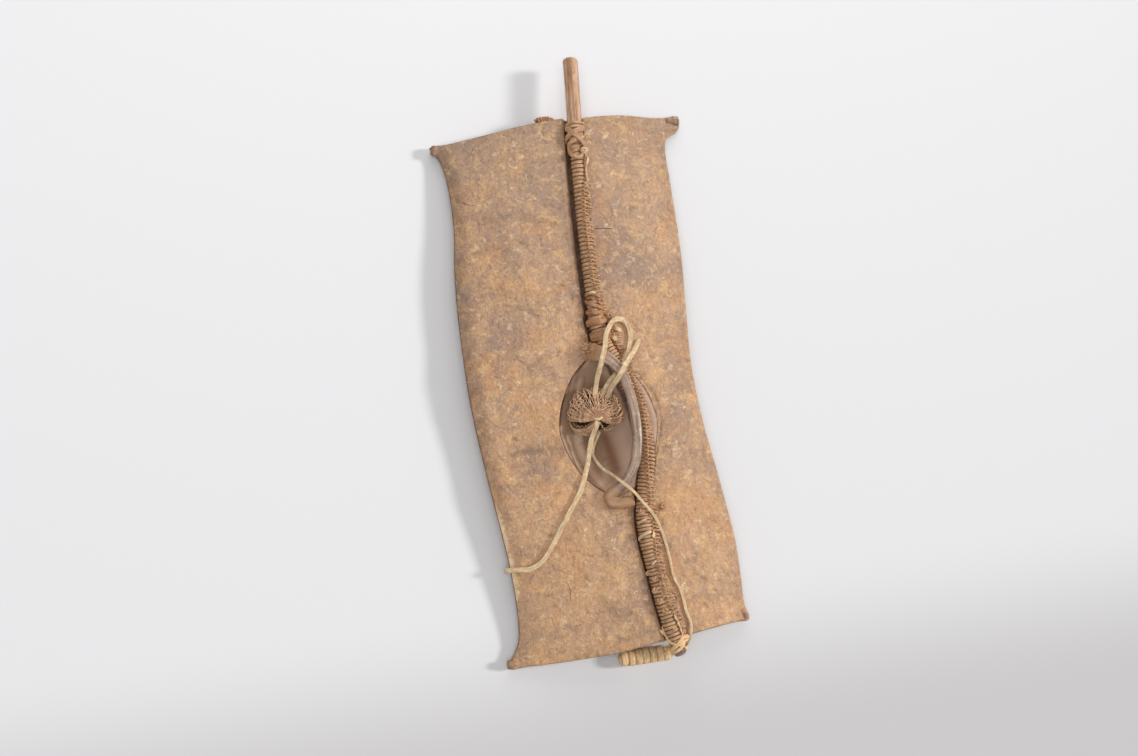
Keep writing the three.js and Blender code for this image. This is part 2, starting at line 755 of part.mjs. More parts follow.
const THONG_STEP = 2.8;
function cordSteps(route, width) {
  const length = new THREE.CatmullRomCurve3(spread(route)).getLength();
  return Math.round(length / (THONG_STEP * width));
}

function makeThong(name, route, width) {
  return makeBand(name, route, width, THONG_THICKNESS, cordSteps(route, width), 0xcdb48c, 0.7);
}

const LACING = { cord: LACING_CORD, pitch: LACING_PITCH, hitch: HITCH_RISE, colour: 0x6f4f38 };
const WINDINGS = { cord: WINDING_CORD, pitch: WINDING_PITCH, hitch: 0, colour: 0x84583a };
const shield = new THREE.Group();
shield.add(
  makeHide(),
  makeStave(),
  makeWrap("upper_lacing", UPPER_LACING_FOOT, LACING_TOP, LACING),
  makeWrap("grip_windings", WINDINGS_FOOT, WINDINGS_TOP, WINDINGS),
  makeWrap("lower_lacing", LACING_FOOT, LOWER_LACING_TOP, LACING),
  makeBand("hand_grip", GRIP_ROUTE, GRIP_WIDTH, GRIP_THICKNESS, GRIP_STEPS, 0x6a5343, 0.45),
  makePompom(),
  makeRoll(),
  makeKnot(),
);
const thongs = [
  makeThong("loop_thong", LOOP_ROUTE, THONG_WIDTH),
  makeThong("end_thong", END_ROUTE, THONG_WIDTH),
  makeThong("edge_thong", EDGE_ROUTE, THONG_WIDTH),
  makeThong("long_thong", LONG_ROUTE, THIN_THONG_WIDTH),
];

// The origin is under the middle of the shield without its thongs, on the surface that it lies on.
const box = new THREE.Box3().setFromObject(shield, true);
const middle = box.getCenter(at(0, 0, 0));
shield.add(...thongs);
shield.position.set(-middle.x, -middle.y, -box.min.z);

const group = new THREE.Group();
group.add(shield);
export default group;
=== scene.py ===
import math
import random
from functools import cache

import bpy
import numpy as np
from bpy.props import FloatProperty, FloatVectorProperty, IntProperty, PointerProperty
from bpy.types import Operator, Panel, PropertyGroup
from mathutils import Matrix, Vector, noise


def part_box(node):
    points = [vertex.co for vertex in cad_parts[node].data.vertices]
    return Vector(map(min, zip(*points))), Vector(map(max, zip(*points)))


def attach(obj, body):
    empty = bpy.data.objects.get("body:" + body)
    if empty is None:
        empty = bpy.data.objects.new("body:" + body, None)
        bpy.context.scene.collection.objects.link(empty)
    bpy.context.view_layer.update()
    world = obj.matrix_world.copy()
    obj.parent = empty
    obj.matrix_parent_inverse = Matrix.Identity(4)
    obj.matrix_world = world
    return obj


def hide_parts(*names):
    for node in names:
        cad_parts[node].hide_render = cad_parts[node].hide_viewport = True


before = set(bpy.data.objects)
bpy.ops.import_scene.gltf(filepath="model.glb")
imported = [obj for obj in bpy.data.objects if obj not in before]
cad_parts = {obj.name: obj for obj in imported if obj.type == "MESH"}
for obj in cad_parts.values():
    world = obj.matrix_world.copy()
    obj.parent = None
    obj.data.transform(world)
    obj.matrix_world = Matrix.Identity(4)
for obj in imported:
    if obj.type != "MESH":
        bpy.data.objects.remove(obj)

bl_info = {
    "name": "Hide shield",
    "version": (1, 0, 0),
    "blender": (4, 5, 0),
    "location": "View3D > Sidebar > Shield",
    "description": "A stiff hide shield with a laced stave, a hand grip, a pompom and loose thongs",
    "category": "Object",
}

BODY = "root"
MM = 0.001
UP = Vector((0, 0, 1))
# From the shield's own drawing, in millimetres, to the frame of the finished part.
ORIGIN = Vector((-11.485, -37.533, -0.231))
STAVE_RISE = 53.5


def placed(x, y, z):
    return (Vector((x, y, z)) + ORIGIN) * MM


def tint(red, green, blue):
    """A colour given as a screen shows it, as the light that it stands for."""
    return tuple(
        c / 12.92 if c <= 0.04045 else ((c + 0.055) / 1.055) ** 2.4
        for c in (red / 255, green / 255, blue / 255)
    )


# Sizes and colours


def length(name, text, default):
    """A length that the panel shows."""
    return FloatProperty(
        name=name, description=text, default=default, min=0, subtype="DISTANCE", unit="LENGTH"
    )


def colour(name, text, rgb):
    """A colour that the panel shows, given as a screen shows it."""
    return FloatVectorProperty(
        name=name, description=text, subtype="COLOR", size=3, min=0, max=1, default=tint(*rgb)
    )


class HideSizes(PropertyGroup):
    dent: length("Dent", "How far the hide's broad dents go down", 0.0014)
    ripple: length("Ripple", "How far the hide's small ripples go down", 0.0005)
    lip: length("Lip", "How sharply the hand recess steps down at its left edge", 0.0012)


class LacingSizes(PropertyGroup):
    upper_pitch: length("Upper pitch", "From turn to turn above the grip", 0.0064)
    lower_pitch: length("Lower pitch", "From turn to turn below the grip", 0.0054)
    cord: length("Cord", "Thickness of the lacing cord", 0.0026)
    fat_strip: length("Fat strip", "Thickness of the strip that binds the grip", 0.0056)
    hitch: length("Hitch", "Thickness of the cord in the row of hitches", 0.0021)
    hitch_pitch: length("Hitch pitch", "From hitch to hitch", 0.0058)


class PompomSizes(PropertyGroup):
    strands: IntProperty(name="Strands", description="Number of hide strands", default=150, min=20)
    strand: length("Strand", "Radius of one strand", 0.00078)
    curl: length("Curl", "How far a strand curls to each side", 0.0013)


class Colours(PropertyGroup):
    hide: colour("Hide", "The dry hide", (196, 157, 124))
    hide_dark: colour("Hide stain", "The greyer stains on the hide", (156, 130, 114))
    hide_warm: colour("Hide warm", "The orange blotches on the hide", (200, 148, 100))
    hide_pale: colour("Hide pale", "Rubbed and chipped places", (228, 200, 160))
    recess: colour("Recess", "The smooth hide in the hand recess", (194, 162, 136))
    stave: colour("Stave", "The whittled wood", (178, 135, 102))
    lacing: colour("Lacing", "The twisted cord", (220, 174, 131))
    windings: colour("Windings", "The fat strip", (190, 138, 92))
    grip: colour("Grip", "The smooth hide of the grip", (188, 160, 138))
    strands: colour("Strands", "The pompom's strands", (248, 205, 164))
    thong: colour("Thong", "The pale thongs", (234, 206, 166))
    # The roll's colour is warmer than the loose thongs' and also painted paler, as a lit copy of their
    # colour.
    roll: colour("Roll", "The rolled thong, warmer than the loose ones", (248, 210, 158))
    floor: colour("Floor", "The pale floor", (236, 235, 236))


# The shield's form, in millimetres

HIDE_LENGTH = 816
HIDE_WIDTH = 352
HALF_LENGTH = HIDE_LENGTH / 2
HALF_WIDTH = HIDE_WIDTH / 2
THICKNESS = 6.5
LEFT_FALL, RIGHT_FALL, END_FALL = 22, 12, 8
SHOULDER_RISE, SHOULDER_ROUND, SHOULDER_DROOP, RIGHT_STEP = 3, 9, 4, 6
TIP_BULGE, TIP_SPREAD, FOURTH_TIP_LIFT = 9, 14, 3
PANEL_CURVE, PAST_EDGE = 1.8, 1.2
RECESS_WIDTH, RECESS_LENGTH, RECESS_DEPTH, RECESS_POINT = 152, 218, 50, 1.7
RECESS_LEFT_LIP, RECESS_RIGHT_LIP, DOME_WEAR = 0.75, 2.2, 1.2
RECESS_X, RECESS_Y = 0.116 * HALF_WIDTH, -0.176 * HALF_LENGTH
STAVE_TOP_RADIUS, STAVE_FOOT_RADIUS = 12, 10
STAVE_OVERHANG, STAVE_TAIL = 96, 26
LACING_CORD, WINDING_CORD, CLEARANCE = 2.8, 6.5, 0.3
WINDINGS_TOP = 0.225 * HALF_LENGTH
WINDINGS_FOOT = WINDINGS_TOP - 45

LEFT_EDGE = [
    (-1, -1.0), (-0.965, -0.955), (-0.91, -0.89), (-0.8, -0.868), (-0.62, -0.885), (-0.3, -0.965),
    (0, -1.022), (0.3, -1.022), (0.5, -0.995), (0.66, -0.95), (0.82, -0.945), (0.93, -0.975), (1, -1.045),
]
RIGHT_EDGE = [
    (-1, 1.085), (-0.95, 1.062), (-0.85, 1.065), (-0.7, 1.062), (-0.45, 1.0), (-0.2, 0.935), (0, 0.915),
    (0.2, 0.945), (0.45, 0.985), (0.75, 1.0), (0.915, 1.03), (0.945, 1.15), (1, 1.175),
]
TOP_EDGE = [
    (-1.05, 0.965), (-0.7, 0.972), (-0.2, 0.993), (0.25, 1.0), (0.65, 0.998), (0.95, 0.982), (1.18, 0.98),
]
FOOT_EDGE = [
    (-1.02, -0.995), (-0.7, -1.0), (-0.1, -0.998), (0.2, -0.983), (0.5, -0.972), (0.8, -0.957),
    (1.07, -0.945),
]
STAVE_BEND = [
    (-1.03, 0.426), (-0.944, 0.38), (-0.833, 0.34), (-0.72, 0.312), (-0.62, 0.287), (-0.53, 0.288),
    (-0.44, 0.325), (-0.323, 0.392), (-0.213, 0.403), (-0.098, 0.369), (0.02, 0.273), (0.137, 0.165),
    (0.252, 0.131), (0.407, 0.131), (0.544, 0.142), (0.691, 0.159), (0.838, 0.182), (1.027, 0.227),
    (1.238, 0.267),
]


def through(knots):
    """A smooth curve through knots, straight beyond both ends."""
    t = np.array([k[0] for k in knots], float)
    v = np.array([k[1] for k in knots], float)
    n = len(t)
    before = np.maximum(np.arange(n) - 1, 0)
    after = np.minimum(np.arange(n) + 1, n - 1)
    slope = (v[after] - v[before]) / (t[after] - t[before])

    def curve(s):
        s = np.asarray(s, float)
        i = np.clip(np.searchsorted(t, s) - 1, 0, n - 2)
        span = t[i + 1] - t[i]
        u = (s - t[i]) / span
        rise = u * u * (3 - 2 * u)
        inside = v[i] * (1 - rise) + v[i + 1] * rise
        inside = inside + span * slope[i] * u * (1 - u) ** 2 - span * slope[i + 1] * u * u * (1 - u)
        low = v[0] + slope[0] * (s - t[0])
        high = v[-1] + slope[-1] * (s - t[-1])
        return np.where(s <= t[0], low, np.where(s >= t[-1], high, inside))

    return curve


left_share, right_share = through(LEFT_EDGE), through(RIGHT_EDGE)
top_share, foot_share, stave_share = through(TOP_EDGE), through(FOOT_EDGE), through(STAVE_BEND)


def smooth(x, low, high):
    u = np.clip((np.asarray(x, float) - low) / (high - low), 0, 1)
    return u * u * (3 - 2 * u)


def top_edge(x):
    return HALF_LENGTH * top_share(np.asarray(x) / HALF_WIDTH)


def foot_edge(x):
    return HALF_LENGTH * foot_share(np.asarray(x) / HALF_WIDTH)


def stave_x(y):
    return HALF_WIDTH * stave_share(np.asarray(y) / HALF_LENGTH)


def stave_z(y):
    return STAVE_RISE - END_FALL * (np.asarray(y) / HALF_LENGTH) ** 2


STAVE_TOP_Y = float(top_edge(stave_x(HALF_LENGTH))) + STAVE_OVERHANG
STAVE_FOOT_Y = float(foot_edge(stave_x(-HALF_LENGTH))) - STAVE_TAIL
LACING_TOP = float(top_edge(stave_x(HALF_LENGTH))) - 12
LACING_FOOT = float(foot_edge(stave_x(-HALF_LENGTH))) + 6


def stave_radius(y):
    share = (np.asarray(y) - STAVE_FOOT_Y) / (STAVE_TOP_Y - STAVE_FOOT_Y)
    return STAVE_FOOT_RADIUS + (STAVE_TOP_RADIUS - STAVE_FOOT_RADIUS) * share


def groove_radius(y):
    near = smooth(y, WINDINGS_FOOT - 12, WINDINGS_FOOT) * (1 - smooth(y, WINDINGS_TOP, WINDINGS_TOP + 12))
    laced = stave_radius(y) + CLEARANCE + LACING_CORD
    return laced + (WINDING_CORD - LACING_CORD) * near + CLEARANCE + 0.8


def across_stave(x, y):
    lean = (stave_x(y + 1) - stave_x(y - 1)) / 2
    return (x - stave_x(y)) / np.hypot(1, lean)


def recess_reach(x, y):
    dx = np.abs(x - RECESS_X) / (RECESS_WIDTH / 2)
    dy = np.abs(y - RECESS_Y) / (RECESS_LENGTH / 2)
    return (dx**RECESS_POINT + dy**RECESS_POINT) ** (1 / RECESS_POINT)


def recess_fall(x, y):
    reach = np.minimum(recess_reach(x, y), 1)
    side = smooth((x - RECESS_X) / (RECESS_WIDTH / 2), -0.3, 0.6)
    lip = RECESS_LEFT_LIP + (RECESS_RIGHT_LIP - RECESS_LEFT_LIP) * side
    return RECESS_DEPTH * (1 - reach * reach) ** lip


def tips():
    found = []
    for share, edge, along, lift in (
        (left_share, top_edge, 1, 0),
        (left_share, foot_edge, -1, 0),
        (right_share, top_edge, 1, 0),
        (right_share, foot_edge, -1, FOURTH_TIP_LIFT),
    ):
        x = HALF_WIDTH * float(share(along))
        found.append((x, float(edge(x)), lift))
    return found


TIPS = tips()


def tip_bulge(x, y):
    total = np.zeros(np.shape(x))
    for tx, ty, _ in TIPS:
        total = total + TIP_BULGE * np.exp(-((x - tx) ** 2 + (y - ty) ** 2) / TIP_SPREAD**2)
    return total


def panel_level(x, y):
    off = across_stave(x, y)
    along = y / HALF_LENGTH
    groove = groove_radius(y)
    reach_left = stave_x(y) - HALF_WIDTH * left_share(along) - groove
    out_left = np.clip((-off - groove) / reach_left, 0, PAST_EDGE)
    bend = np.clip(1 - (-off - groove) / SHOULDER_ROUND, 0, 1)
    left = stave_z(y) + SHOULDER_RISE - LEFT_FALL * out_left**PANEL_CURVE - SHOULDER_DROOP * bend**2
    reach_right = HALF_WIDTH * right_share(along) - stave_x(y) - groove
    out_right = np.clip((off - groove) / reach_right, 0, PAST_EDGE)
    right = stave_z(y) - RIGHT_STEP - RIGHT_FALL * out_right**PANEL_CURVE
    return np.where(off < 0, left, right)


RECESS_LEVEL = float(panel_level(np.float64(RECESS_X), np.float64(RECESS_Y)))
REST_LEVEL = RECESS_LEVEL - RECESS_DEPTH - THICKNESS + DOME_WEAR
TIP_FALL = np.array([
    float(panel_level(np.float64(x), np.float64(y))) - THICKNESS - TIP_BULGE / 2 - lift - REST_LEVEL
    for x, y, lift in TIPS
])


def corner_fall(x, y):
    off = across_stave(x, y)
    end = np.abs(y / HALF_LENGTH) ** 4
    edge = np.where(off < 0, left_share(y / HALF_LENGTH), right_share(y / HALF_LENGTH))
    out = np.clip(off / (HALF_WIDTH * edge - stave_x(y)), 0, PAST_EDGE)
    tip = np.where(off < 0, 0, 2) + np.where(y < 0, 1, 0)
    return TIP_FALL[tip] * end * out * out


def hide_top(x, y):
    off = across_stave(x, y)
    groove = groove_radius(y)
    level = panel_level(x, y) - corner_fall(x, y) - recess_fall(x, y) + tip_bulge(x, y) / 2
    inside = np.abs(off) < groove
    bowl = stave_z(y) - np.sqrt(np.maximum(groove * groove - off * off, 0))
    return np.where(inside, np.minimum(level, bowl), level)


# Meshes


def added(name, data):
    """An object with its data, in the scene."""
    thing = bpy.data.objects.new(name, data)
    bpy.context.scene.collection.objects.link(thing)
    return thing


def dressed(piece):
    """A finished piece, which rides on the shield."""
    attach(piece, BODY)
    return piece


def finished(name, points, faces, finish, straight=None, marks=None):
    """A piece of one mesh at the origin, in metres. Its finish reads the straightened places or the marks."""
    mesh = bpy.data.meshes.new(name)
    mesh.from_pydata([tuple(p) for p in points], [], faces)
    for key, kind, field, values in (
        ("straight", "FLOAT_VECTOR", "vector", straight),
        ("marks", "FLOAT_COLOR", "color", marks),
    ):
        if values is not None:
            layer = mesh.attributes.new(key, kind, "POINT")
            layer.data.foreach_set(field, np.asarray(values, np.float32).ravel())
    mesh.materials.append(material_of(finish))
    mesh.shade_smooth()
    mesh.validate()
    mesh.update()
    return dressed(added(name, mesh))


def joined(parts):
    """Several sets of points, faces and straightened places as one."""
    points, faces, straight = [], [], []
    for part_points, part_faces, part_straight in parts:
        start = len(points)
        points += part_points
        straight += part_straight
        faces += [[start + i for i in face] for face in part_faces]
    return points, faces, straight


def frames_along(line, normal=None):
    """Places, tangents and side vectors along a line; a given normal is held, or else up is."""
    count = len(line)
    out = []
    side = None
    for i, here in enumerate(line):
        ahead = line[min(i + 1, count - 1)]
        behind = line[max(i - 1, 0)]
        tangent = (ahead - behind).normalized()
        level = UP.cross(tangent) if normal is None else normal(i).cross(tangent)
        if side is None:
            side = level if level.length > 1e-4 else Vector((1, 0, 0))
        elif level.length > 0.3 and level.dot(side) > 0:
            side = level
        side = (side - tangent * side.dot(tangent)).normalized()
        out.append((here, tangent, side, tangent.cross(side)))
    return out


def tube_faces(count, sides):
    """The faces between rings of points, without the two ends."""
    faces = []
    for i in range(count - 1):
        for j in range(sides):
            k = (j + 1) % sides
            faces.append([i * sides + j, i * sides + k, (i + 1) * sides + k, (i + 1) * sides + j])
    return faces


def lofted(line, section, sides=12, normal=None):
    """A body along a line in millimetres. section(share, angle) says how far it reaches sideways and up."""
    steps = frames_along(line, normal)
    count = len(steps)
    run = [0.0]
    for a, b in zip(line, line[1:]):
        run.append(run[-1] + (b - a).length)
    points, straight = [], []
    for i, (here, _, side, up) in enumerate(steps):
        share = run[i] / run[-1]
        for j in range(sides):
            angle = 2 * math.pi * j / sides
            a, b = section(share, angle)
            points.append((here + side * a + up * b + ORIGIN) * MM)
            straight.append((a * MM, b * MM, run[i] * MM))
    faces = tube_faces(count, sides)
    for end, turn in ((0, True), (count - 1, False)):
        ring = [end * sides + j for j in range(sides)]
        here, tangent = steps[end][0], steps[end][1]
        bulge = section(0 if turn else 1, 0)[0] * 0.18
        cap = len(points)
        points.append((here + tangent * (-bulge if turn else bulge) + ORIGIN) * MM)
        straight.append((0.0, 0.0, run[end] * MM))
        for j in range(sides):
            a, b = ring[j], ring[(j + 1) % sides]
            faces.append([cap, b, a] if turn else [cap, a, b])
    return points, faces, straight


def spline(route, step=1.6):
    """A smooth line through a route's points in millimetres, centripetal as the solids' routes are."""
    p = [Vector(q) for q in route]
    p = [p[0] * 2 - p[1]] + p + [p[-1] * 2 - p[-2]]
    line = []
    for i in range(1, len(p) - 2):
        a, b, c, d = p[i - 1], p[i], p[i + 1], p[i + 2]
        t0 = 0.0
        t1 = t0 + math.sqrt((b - a).length)
        t2 = t1 + math.sqrt((c - b).length)
        t3 = t2 + math.sqrt((d - c).length)
        parts = max(1, round((c - b).length / step))
        for k in range(parts):
            t = t1 + (t2 - t1) * k / parts
            ab = a * ((t1 - t) / (t1 - t0)) + b * ((t - t0) / (t1 - t0))
            bc = b * ((t2 - t) / (t2 - t1)) + c * ((t - t1) / (t2 - t1))
            cd = c * ((t3 - t) / (t3 - t2)) + d * ((t - t2) / (t3 - t2))
            abc = ab * ((t2 - t) / (t2 - t0)) + bc * ((t - t0) / (t2 - t0))
            bcd = bc * ((t3 - t) / (t3 - t1)) + cd * ((t - t1) / (t3 - t1))
            line.append(abc * ((t2 - t) / (t2 - t1)) + bcd * ((t - t1) / (t2 - t1)))
    line.append(p[-2].copy())
    return line


def stave_frame(y):
    """The stave's axis at a height along the shield, with its tangent, right side and up."""
    lean = float(stave_x(y + 1) - stave_x(y - 1)) / 2
    fall = float(stave_z(y + 1) - stave_z(y - 1)) / 2
    along = Vector((lean, 1, fall)).normalized()
    side = along.cross(UP).normalized()
    return Vector((float(stave_x(y)), y, float(stave_z(y)))), along, side, side.cross(along)


# Shader nodes


def add(tree, kind, inputs=None, **settings):
    """A node with its settings, and its inputs given by name or number as values or as sockets."""
    node = tree.nodes.new(kind)
    for key, value in settings.items():
        setattr(node, key, value)
    for key, value in (inputs or {}).items():
        socket = node.inputs[key]
        if isinstance(value, bpy.types.NodeSocket):
            tree.links.new(value, socket)
        elif socket.type == "RGBA" and len(value) == 3:
            socket.default_value = (*value, 1)
        else:
            socket.default_value = value
    return node


def sums(tree, operation, a, b=0.0, clamp=False):
    return add(tree, "ShaderNodeMath", {0: a, 1: b}, operation=operation, use_clamp=clamp).outputs[0]


def mixed(tree, share, a, b):
    return add(tree, "ShaderNodeMix", {0: share, 6: a, 7: b}, data_type="RGBA").outputs[2]


def stepped(tree, value, low, high, out_low=0.0, out_high=1.0):
    node = add(tree, "ShaderNodeMapRange", {0: value, 1: low, 2: high, 3: out_low, 4: out_high}, clamp=True)
    node.interpolation_type = "SMOOTHSTEP"
    return node.outputs[0]


def cloud(tree, place, scale, detail=4.0, roughness=0.55, distortion=0.0):
    inputs = {"Vector": place, "Scale": scale, "Detail": detail}
    inputs |= {"Roughness": roughness, "Distortion": distortion}
    return add(tree, "ShaderNodeTexNoise", inputs, noise_dimensions="3D").outputs[0]


def mixed_value(tree, share, a, b):
    return add(tree, "ShaderNodeMix", {0: share, 2: a, 3: b}, data_type="FLOAT").outputs[0]


def vector_math(tree, operation, *values):
    return add(tree, "ShaderNodeVectorMath", dict(enumerate(values)), operation=operation).outputs[0]


def scaled(tree, vector, factor):
    return add(tree, "ShaderNodeVectorMath", {0: vector, 3: factor}, operation="SCALE").outputs[0]


def stretched(tree, place, scale, turn=(0, 0, 0)):
    return add(tree, "ShaderNodeMapping", {"Vector": place, "Rotation": turn, "Scale": scale}).outputs[0]


def shared_group(name, inputs, outputs):
    """A shader group with named sockets, made once."""
    tree = bpy.data.node_groups.new(name, "ShaderNodeTree")
    for label, kind, default in inputs:
        socket = tree.interface.new_socket(label, in_out="INPUT", socket_type=kind)
        if default is not None:
            socket.default_value = default
    for label, kind in outputs:
        tree.interface.new_socket(label, in_out="OUTPUT", socket_type=kind)
    return tree, tree.nodes.new("NodeGroupInput").outputs, tree.nodes.new("NodeGroupOutput").inputs


@cache
def grime_group():
    """Dirt that gathers in patches and specks over a colour."""
    tree, ins, outs = shared_group(
        "Grime",
        [
            ("Vector", "NodeSocketVector", None),
            ("Color", "NodeSocketColor", (0.5, 0.5, 0.5, 1)),
            ("Dirt", "NodeSocketColor", (0.1, 0.07, 0.05, 1)),
            ("Amount", "NodeSocketFloat", 0.5),
            ("Scale", "NodeSocketFloat", 40.0),
        ],
        [("Color", "NodeSocketColor")],
    )
    patches = stepped(tree, cloud(tree, ins["Vector"], ins["Scale"], 6.0, 0.65, 0.6), 0.42, 0.72)
    finer = sums(tree, "MULTIPLY", ins["Scale"], 7.0)
    specks = stepped(tree, cloud(tree, ins["Vector"], finer, 3.0, 0.6), 0.55, 0.75)
    both = sums(tree, "ADD", patches, sums(tree, "MULTIPLY", specks, 0.6), clamp=True)
    share = sums(tree, "MULTIPLY", both, ins["Amount"], clamp=True)
    tree.links.new(mixed(tree, share, ins["Color"], ins["Dirt"]), outs["Color"])
    return tree


@cache
def fibre_group():
    """Fine fibres along a straightened strip or cord, with the light and dark of each."""
    tree, ins, outs = shared_group(
        "Fibres",
        [
            ("Straight", "NodeSocketVector", None),
            ("Fineness", "NodeSocketFloat", 900.0),
            ("Stretch", "NodeSocketFloat", 60.0),
        ],
        [("Fibre", "NodeSocketFloat"), ("Blotch", "NodeSocketFloat")],
    )
    sizes = {0: ins["Fineness"], 1: ins["Fineness"], 2: ins["Stretch"]}
    scale = add(tree, "ShaderNodeCombineXYZ", sizes).outputs[0]
    lines = vector_math(tree, "MULTIPLY", ins["Straight"], scale)
    tree.links.new(cloud(tree, lines, 1.0, 3.0, 0.6, 0.4), outs["Fibre"])
    tree.links.new(cloud(tree, ins["Straight"], 130.0, 4.0, 0.6), outs["Blotch"])
    return tree


def use_grime(tree, place, base, dirt, amount, scale):
    values = {"Vector": place, "Color": base, "Dirt": dirt, "Amount": amount, "Scale": scale}
    return add(tree, "ShaderNodeGroup", values, node_tree=grime_group()).outputs[0]


def use_fibres(tree, place, fineness, stretch):
    values = {"Straight": place, "Fineness": fineness, "Stretch": stretch}
    return add(tree, "ShaderNodeGroup", values, node_tree=fibre_group()).outputs


def started(name):
    material = bpy.data.materials.new(name)
    material.use_nodes = True
    tree = material.node_tree
    return material, tree, tree.nodes["Principled BSDF"]


def attribute(tree, name):
    return add(tree, "ShaderNodeAttribute", attribute_name=name, attribute_type="GEOMETRY")


def object_place(tree):
    return add(tree, "ShaderNodeTexCoord").outputs["Object"]


def relief(tree, shader, heights):
    """Chained bumps, each a height, its strength and its depth in metres."""
    normal = None
    for height, strength, depth in heights:
        inputs = {"Height": height, "Strength": strength, "Distance": depth}
        if normal is not None:
            inputs["Normal"] = normal
        normal = add(tree, "ShaderNodeBump", inputs).outputs[0]
    tree.links.new(normal, shader.inputs["Normal"])


def colours():
    return bpy.context.scene.shield_colours


def hide_material():
    c = colours()
    material, tree, shader = started("Dry hide")
    place = object_place(tree)
    painted = attribute(tree, "marks")
    marks = add(tree, "ShaderNodeSeparateColor", {0: painted.outputs["Color"]})
    warm_mark = painted.outputs["Alpha"]
    pale_and_glint_mark, dark_and_shade_mark, smooth_mark = marks.outputs
    away = vector_math(tree, "ADD", place, (3.1, 1.7, 0.4))
    other = vector_math(tree, "ADD", place, (0.7, 5.2, 2.4))
    across, height, _ = add(tree, "ShaderNodeSeparateXYZ", {0: place}).outputs

    def patches(base, where, scale, low, high, share, tone, rough=0.55, distortion=0.8):
        """Ragged patches of a tone over a colour."""
        spread = stepped(tree, cloud(tree, where, scale, 6.0, rough, distortion), low, high, 0, share)
        return mixed(tree, spread, base, tone)

    base = patches(c.hide, place, 6.5, 0.43, 0.62, 0.8, c.hide_dark, 0.6, 0.5)
    base = patches(base, away, 14.0, 0.44, 0.62, 0.5, c.hide_warm, 0.6)
    base = mixed(tree, stepped(tree, height, 0.15, -0.35, 0.0, 0.30), base, tint(210, 160, 112))
    base = mixed(tree, stepped(tree, height, 0.10, 0.42, 0.0, 0.45), base, tint(153, 130, 111))
    base = patches(base, other, 26.0, 0.48, 0.66, 0.42, tint(150, 124, 110))
    base = patches(base, away, 46.0, 0.50, 0.68, 0.5, tint(226, 180, 124))
    base = patches(base, other, 75.0, 0.54, 0.70, 0.42, tint(128, 96, 74))
    base = patches(base, place, 105.0, 0.56, 0.68, 0.5, c.hide_pale)
    streaks = cloud(tree, stretched(tree, place, (150, 30, 60), (0, 0, 0.7)), 1.0, 5.0, 0.7, 0.5)
    base = mixed(tree, stepped(tree, streaks, 0.56, 0.70, 0, 0.35), base, tint(124, 92, 70))
    middling = stepped(tree, cloud(tree, away, 240.0, 6.0, 0.75, 0.8), 0.36, 0.66, 0.92, 1.27)
    base = scaled(tree, base, middling)
    inside = patches(c.recess, place, 24.0, 0.40, 0.64, 1.0, tint(168, 134, 108))
    # Painted light: the recess is paler on its right, to make up for the shade of the stave and grip over it
    # and to give its swelling a sheen.
    inside = mixed(tree, stepped(tree, across, 0.0, 0.035), inside, tint(226, 194, 170))
    inside = mixed(tree, sums(tree, "MULTIPLY", warm_mark, 0.8), inside, tint(138, 92, 66))
    base = mixed(tree, smooth_mark, base, inside)
    # The pale marks, torn ragged: chips, rubbed edges and a worn strip, and painted glints of light.
    ragged = sums(tree, "MULTIPLY", sums(tree, "SUBTRACT", cloud(tree, away, 150.0, 6.0, 0.75), 0.5), 3.6)
    torn = stepped(tree, sums(tree, "ADD", pale_and_glint_mark, ragged), 0.62, 0.95)
    torn = sums(tree, "MULTIPLY", torn, stepped(tree, pale_and_glint_mark, 0.03, 0.2))
    base = mixed(tree, sums(tree, "MULTIPLY", torn, 0.75), base, tint(236, 212, 172))
    # The dark marks: crease darkness, darker edges and a band beside the stave, and painted shade in the
    # groove, on the shoulder and along the left and cut edges.
    uneven = stepped(tree, cloud(tree, place, 90.0, 6.0, 0.7), 0.3, 0.62, 0.6, 1.0)
    base = mixed(tree, sums(tree, "MULTIPLY", dark_and_shade_mark, uneven), base, tint(84, 62, 50))
    tree.links.new(base, shader.inputs["Base Color"])
    rough = stepped(tree, cloud(tree, place, 50.0, 4.0, 0.6), 0.35, 0.65, 0.44, 0.70)
    tree.links.new(mixed_value(tree, smooth_mark, rough, 0.38), shader.inputs["Roughness"])
    shader.inputs["Specular IOR Level"].default_value = 0.4
    plain = sums(tree, "SUBTRACT", 1.0, sums(tree, "MULTIPLY", smooth_mark, 0.9))
    relief(tree, shader, [
        (sums(tree, "MULTIPLY", cloud(tree, away, 30.0, 4.0, 0.55, 0.8), plain), 0.6, 0.0060),
        (sums(tree, "MULTIPLY", cloud(tree, place, 90.0, 6.0, 0.62, 0.9), plain), 0.85, 0.0034),
        (sums(tree, "MULTIPLY", cloud(tree, place, 340.0, 3.0, 0.6), plain), 0.6, 0.0007),
    ])
    return material


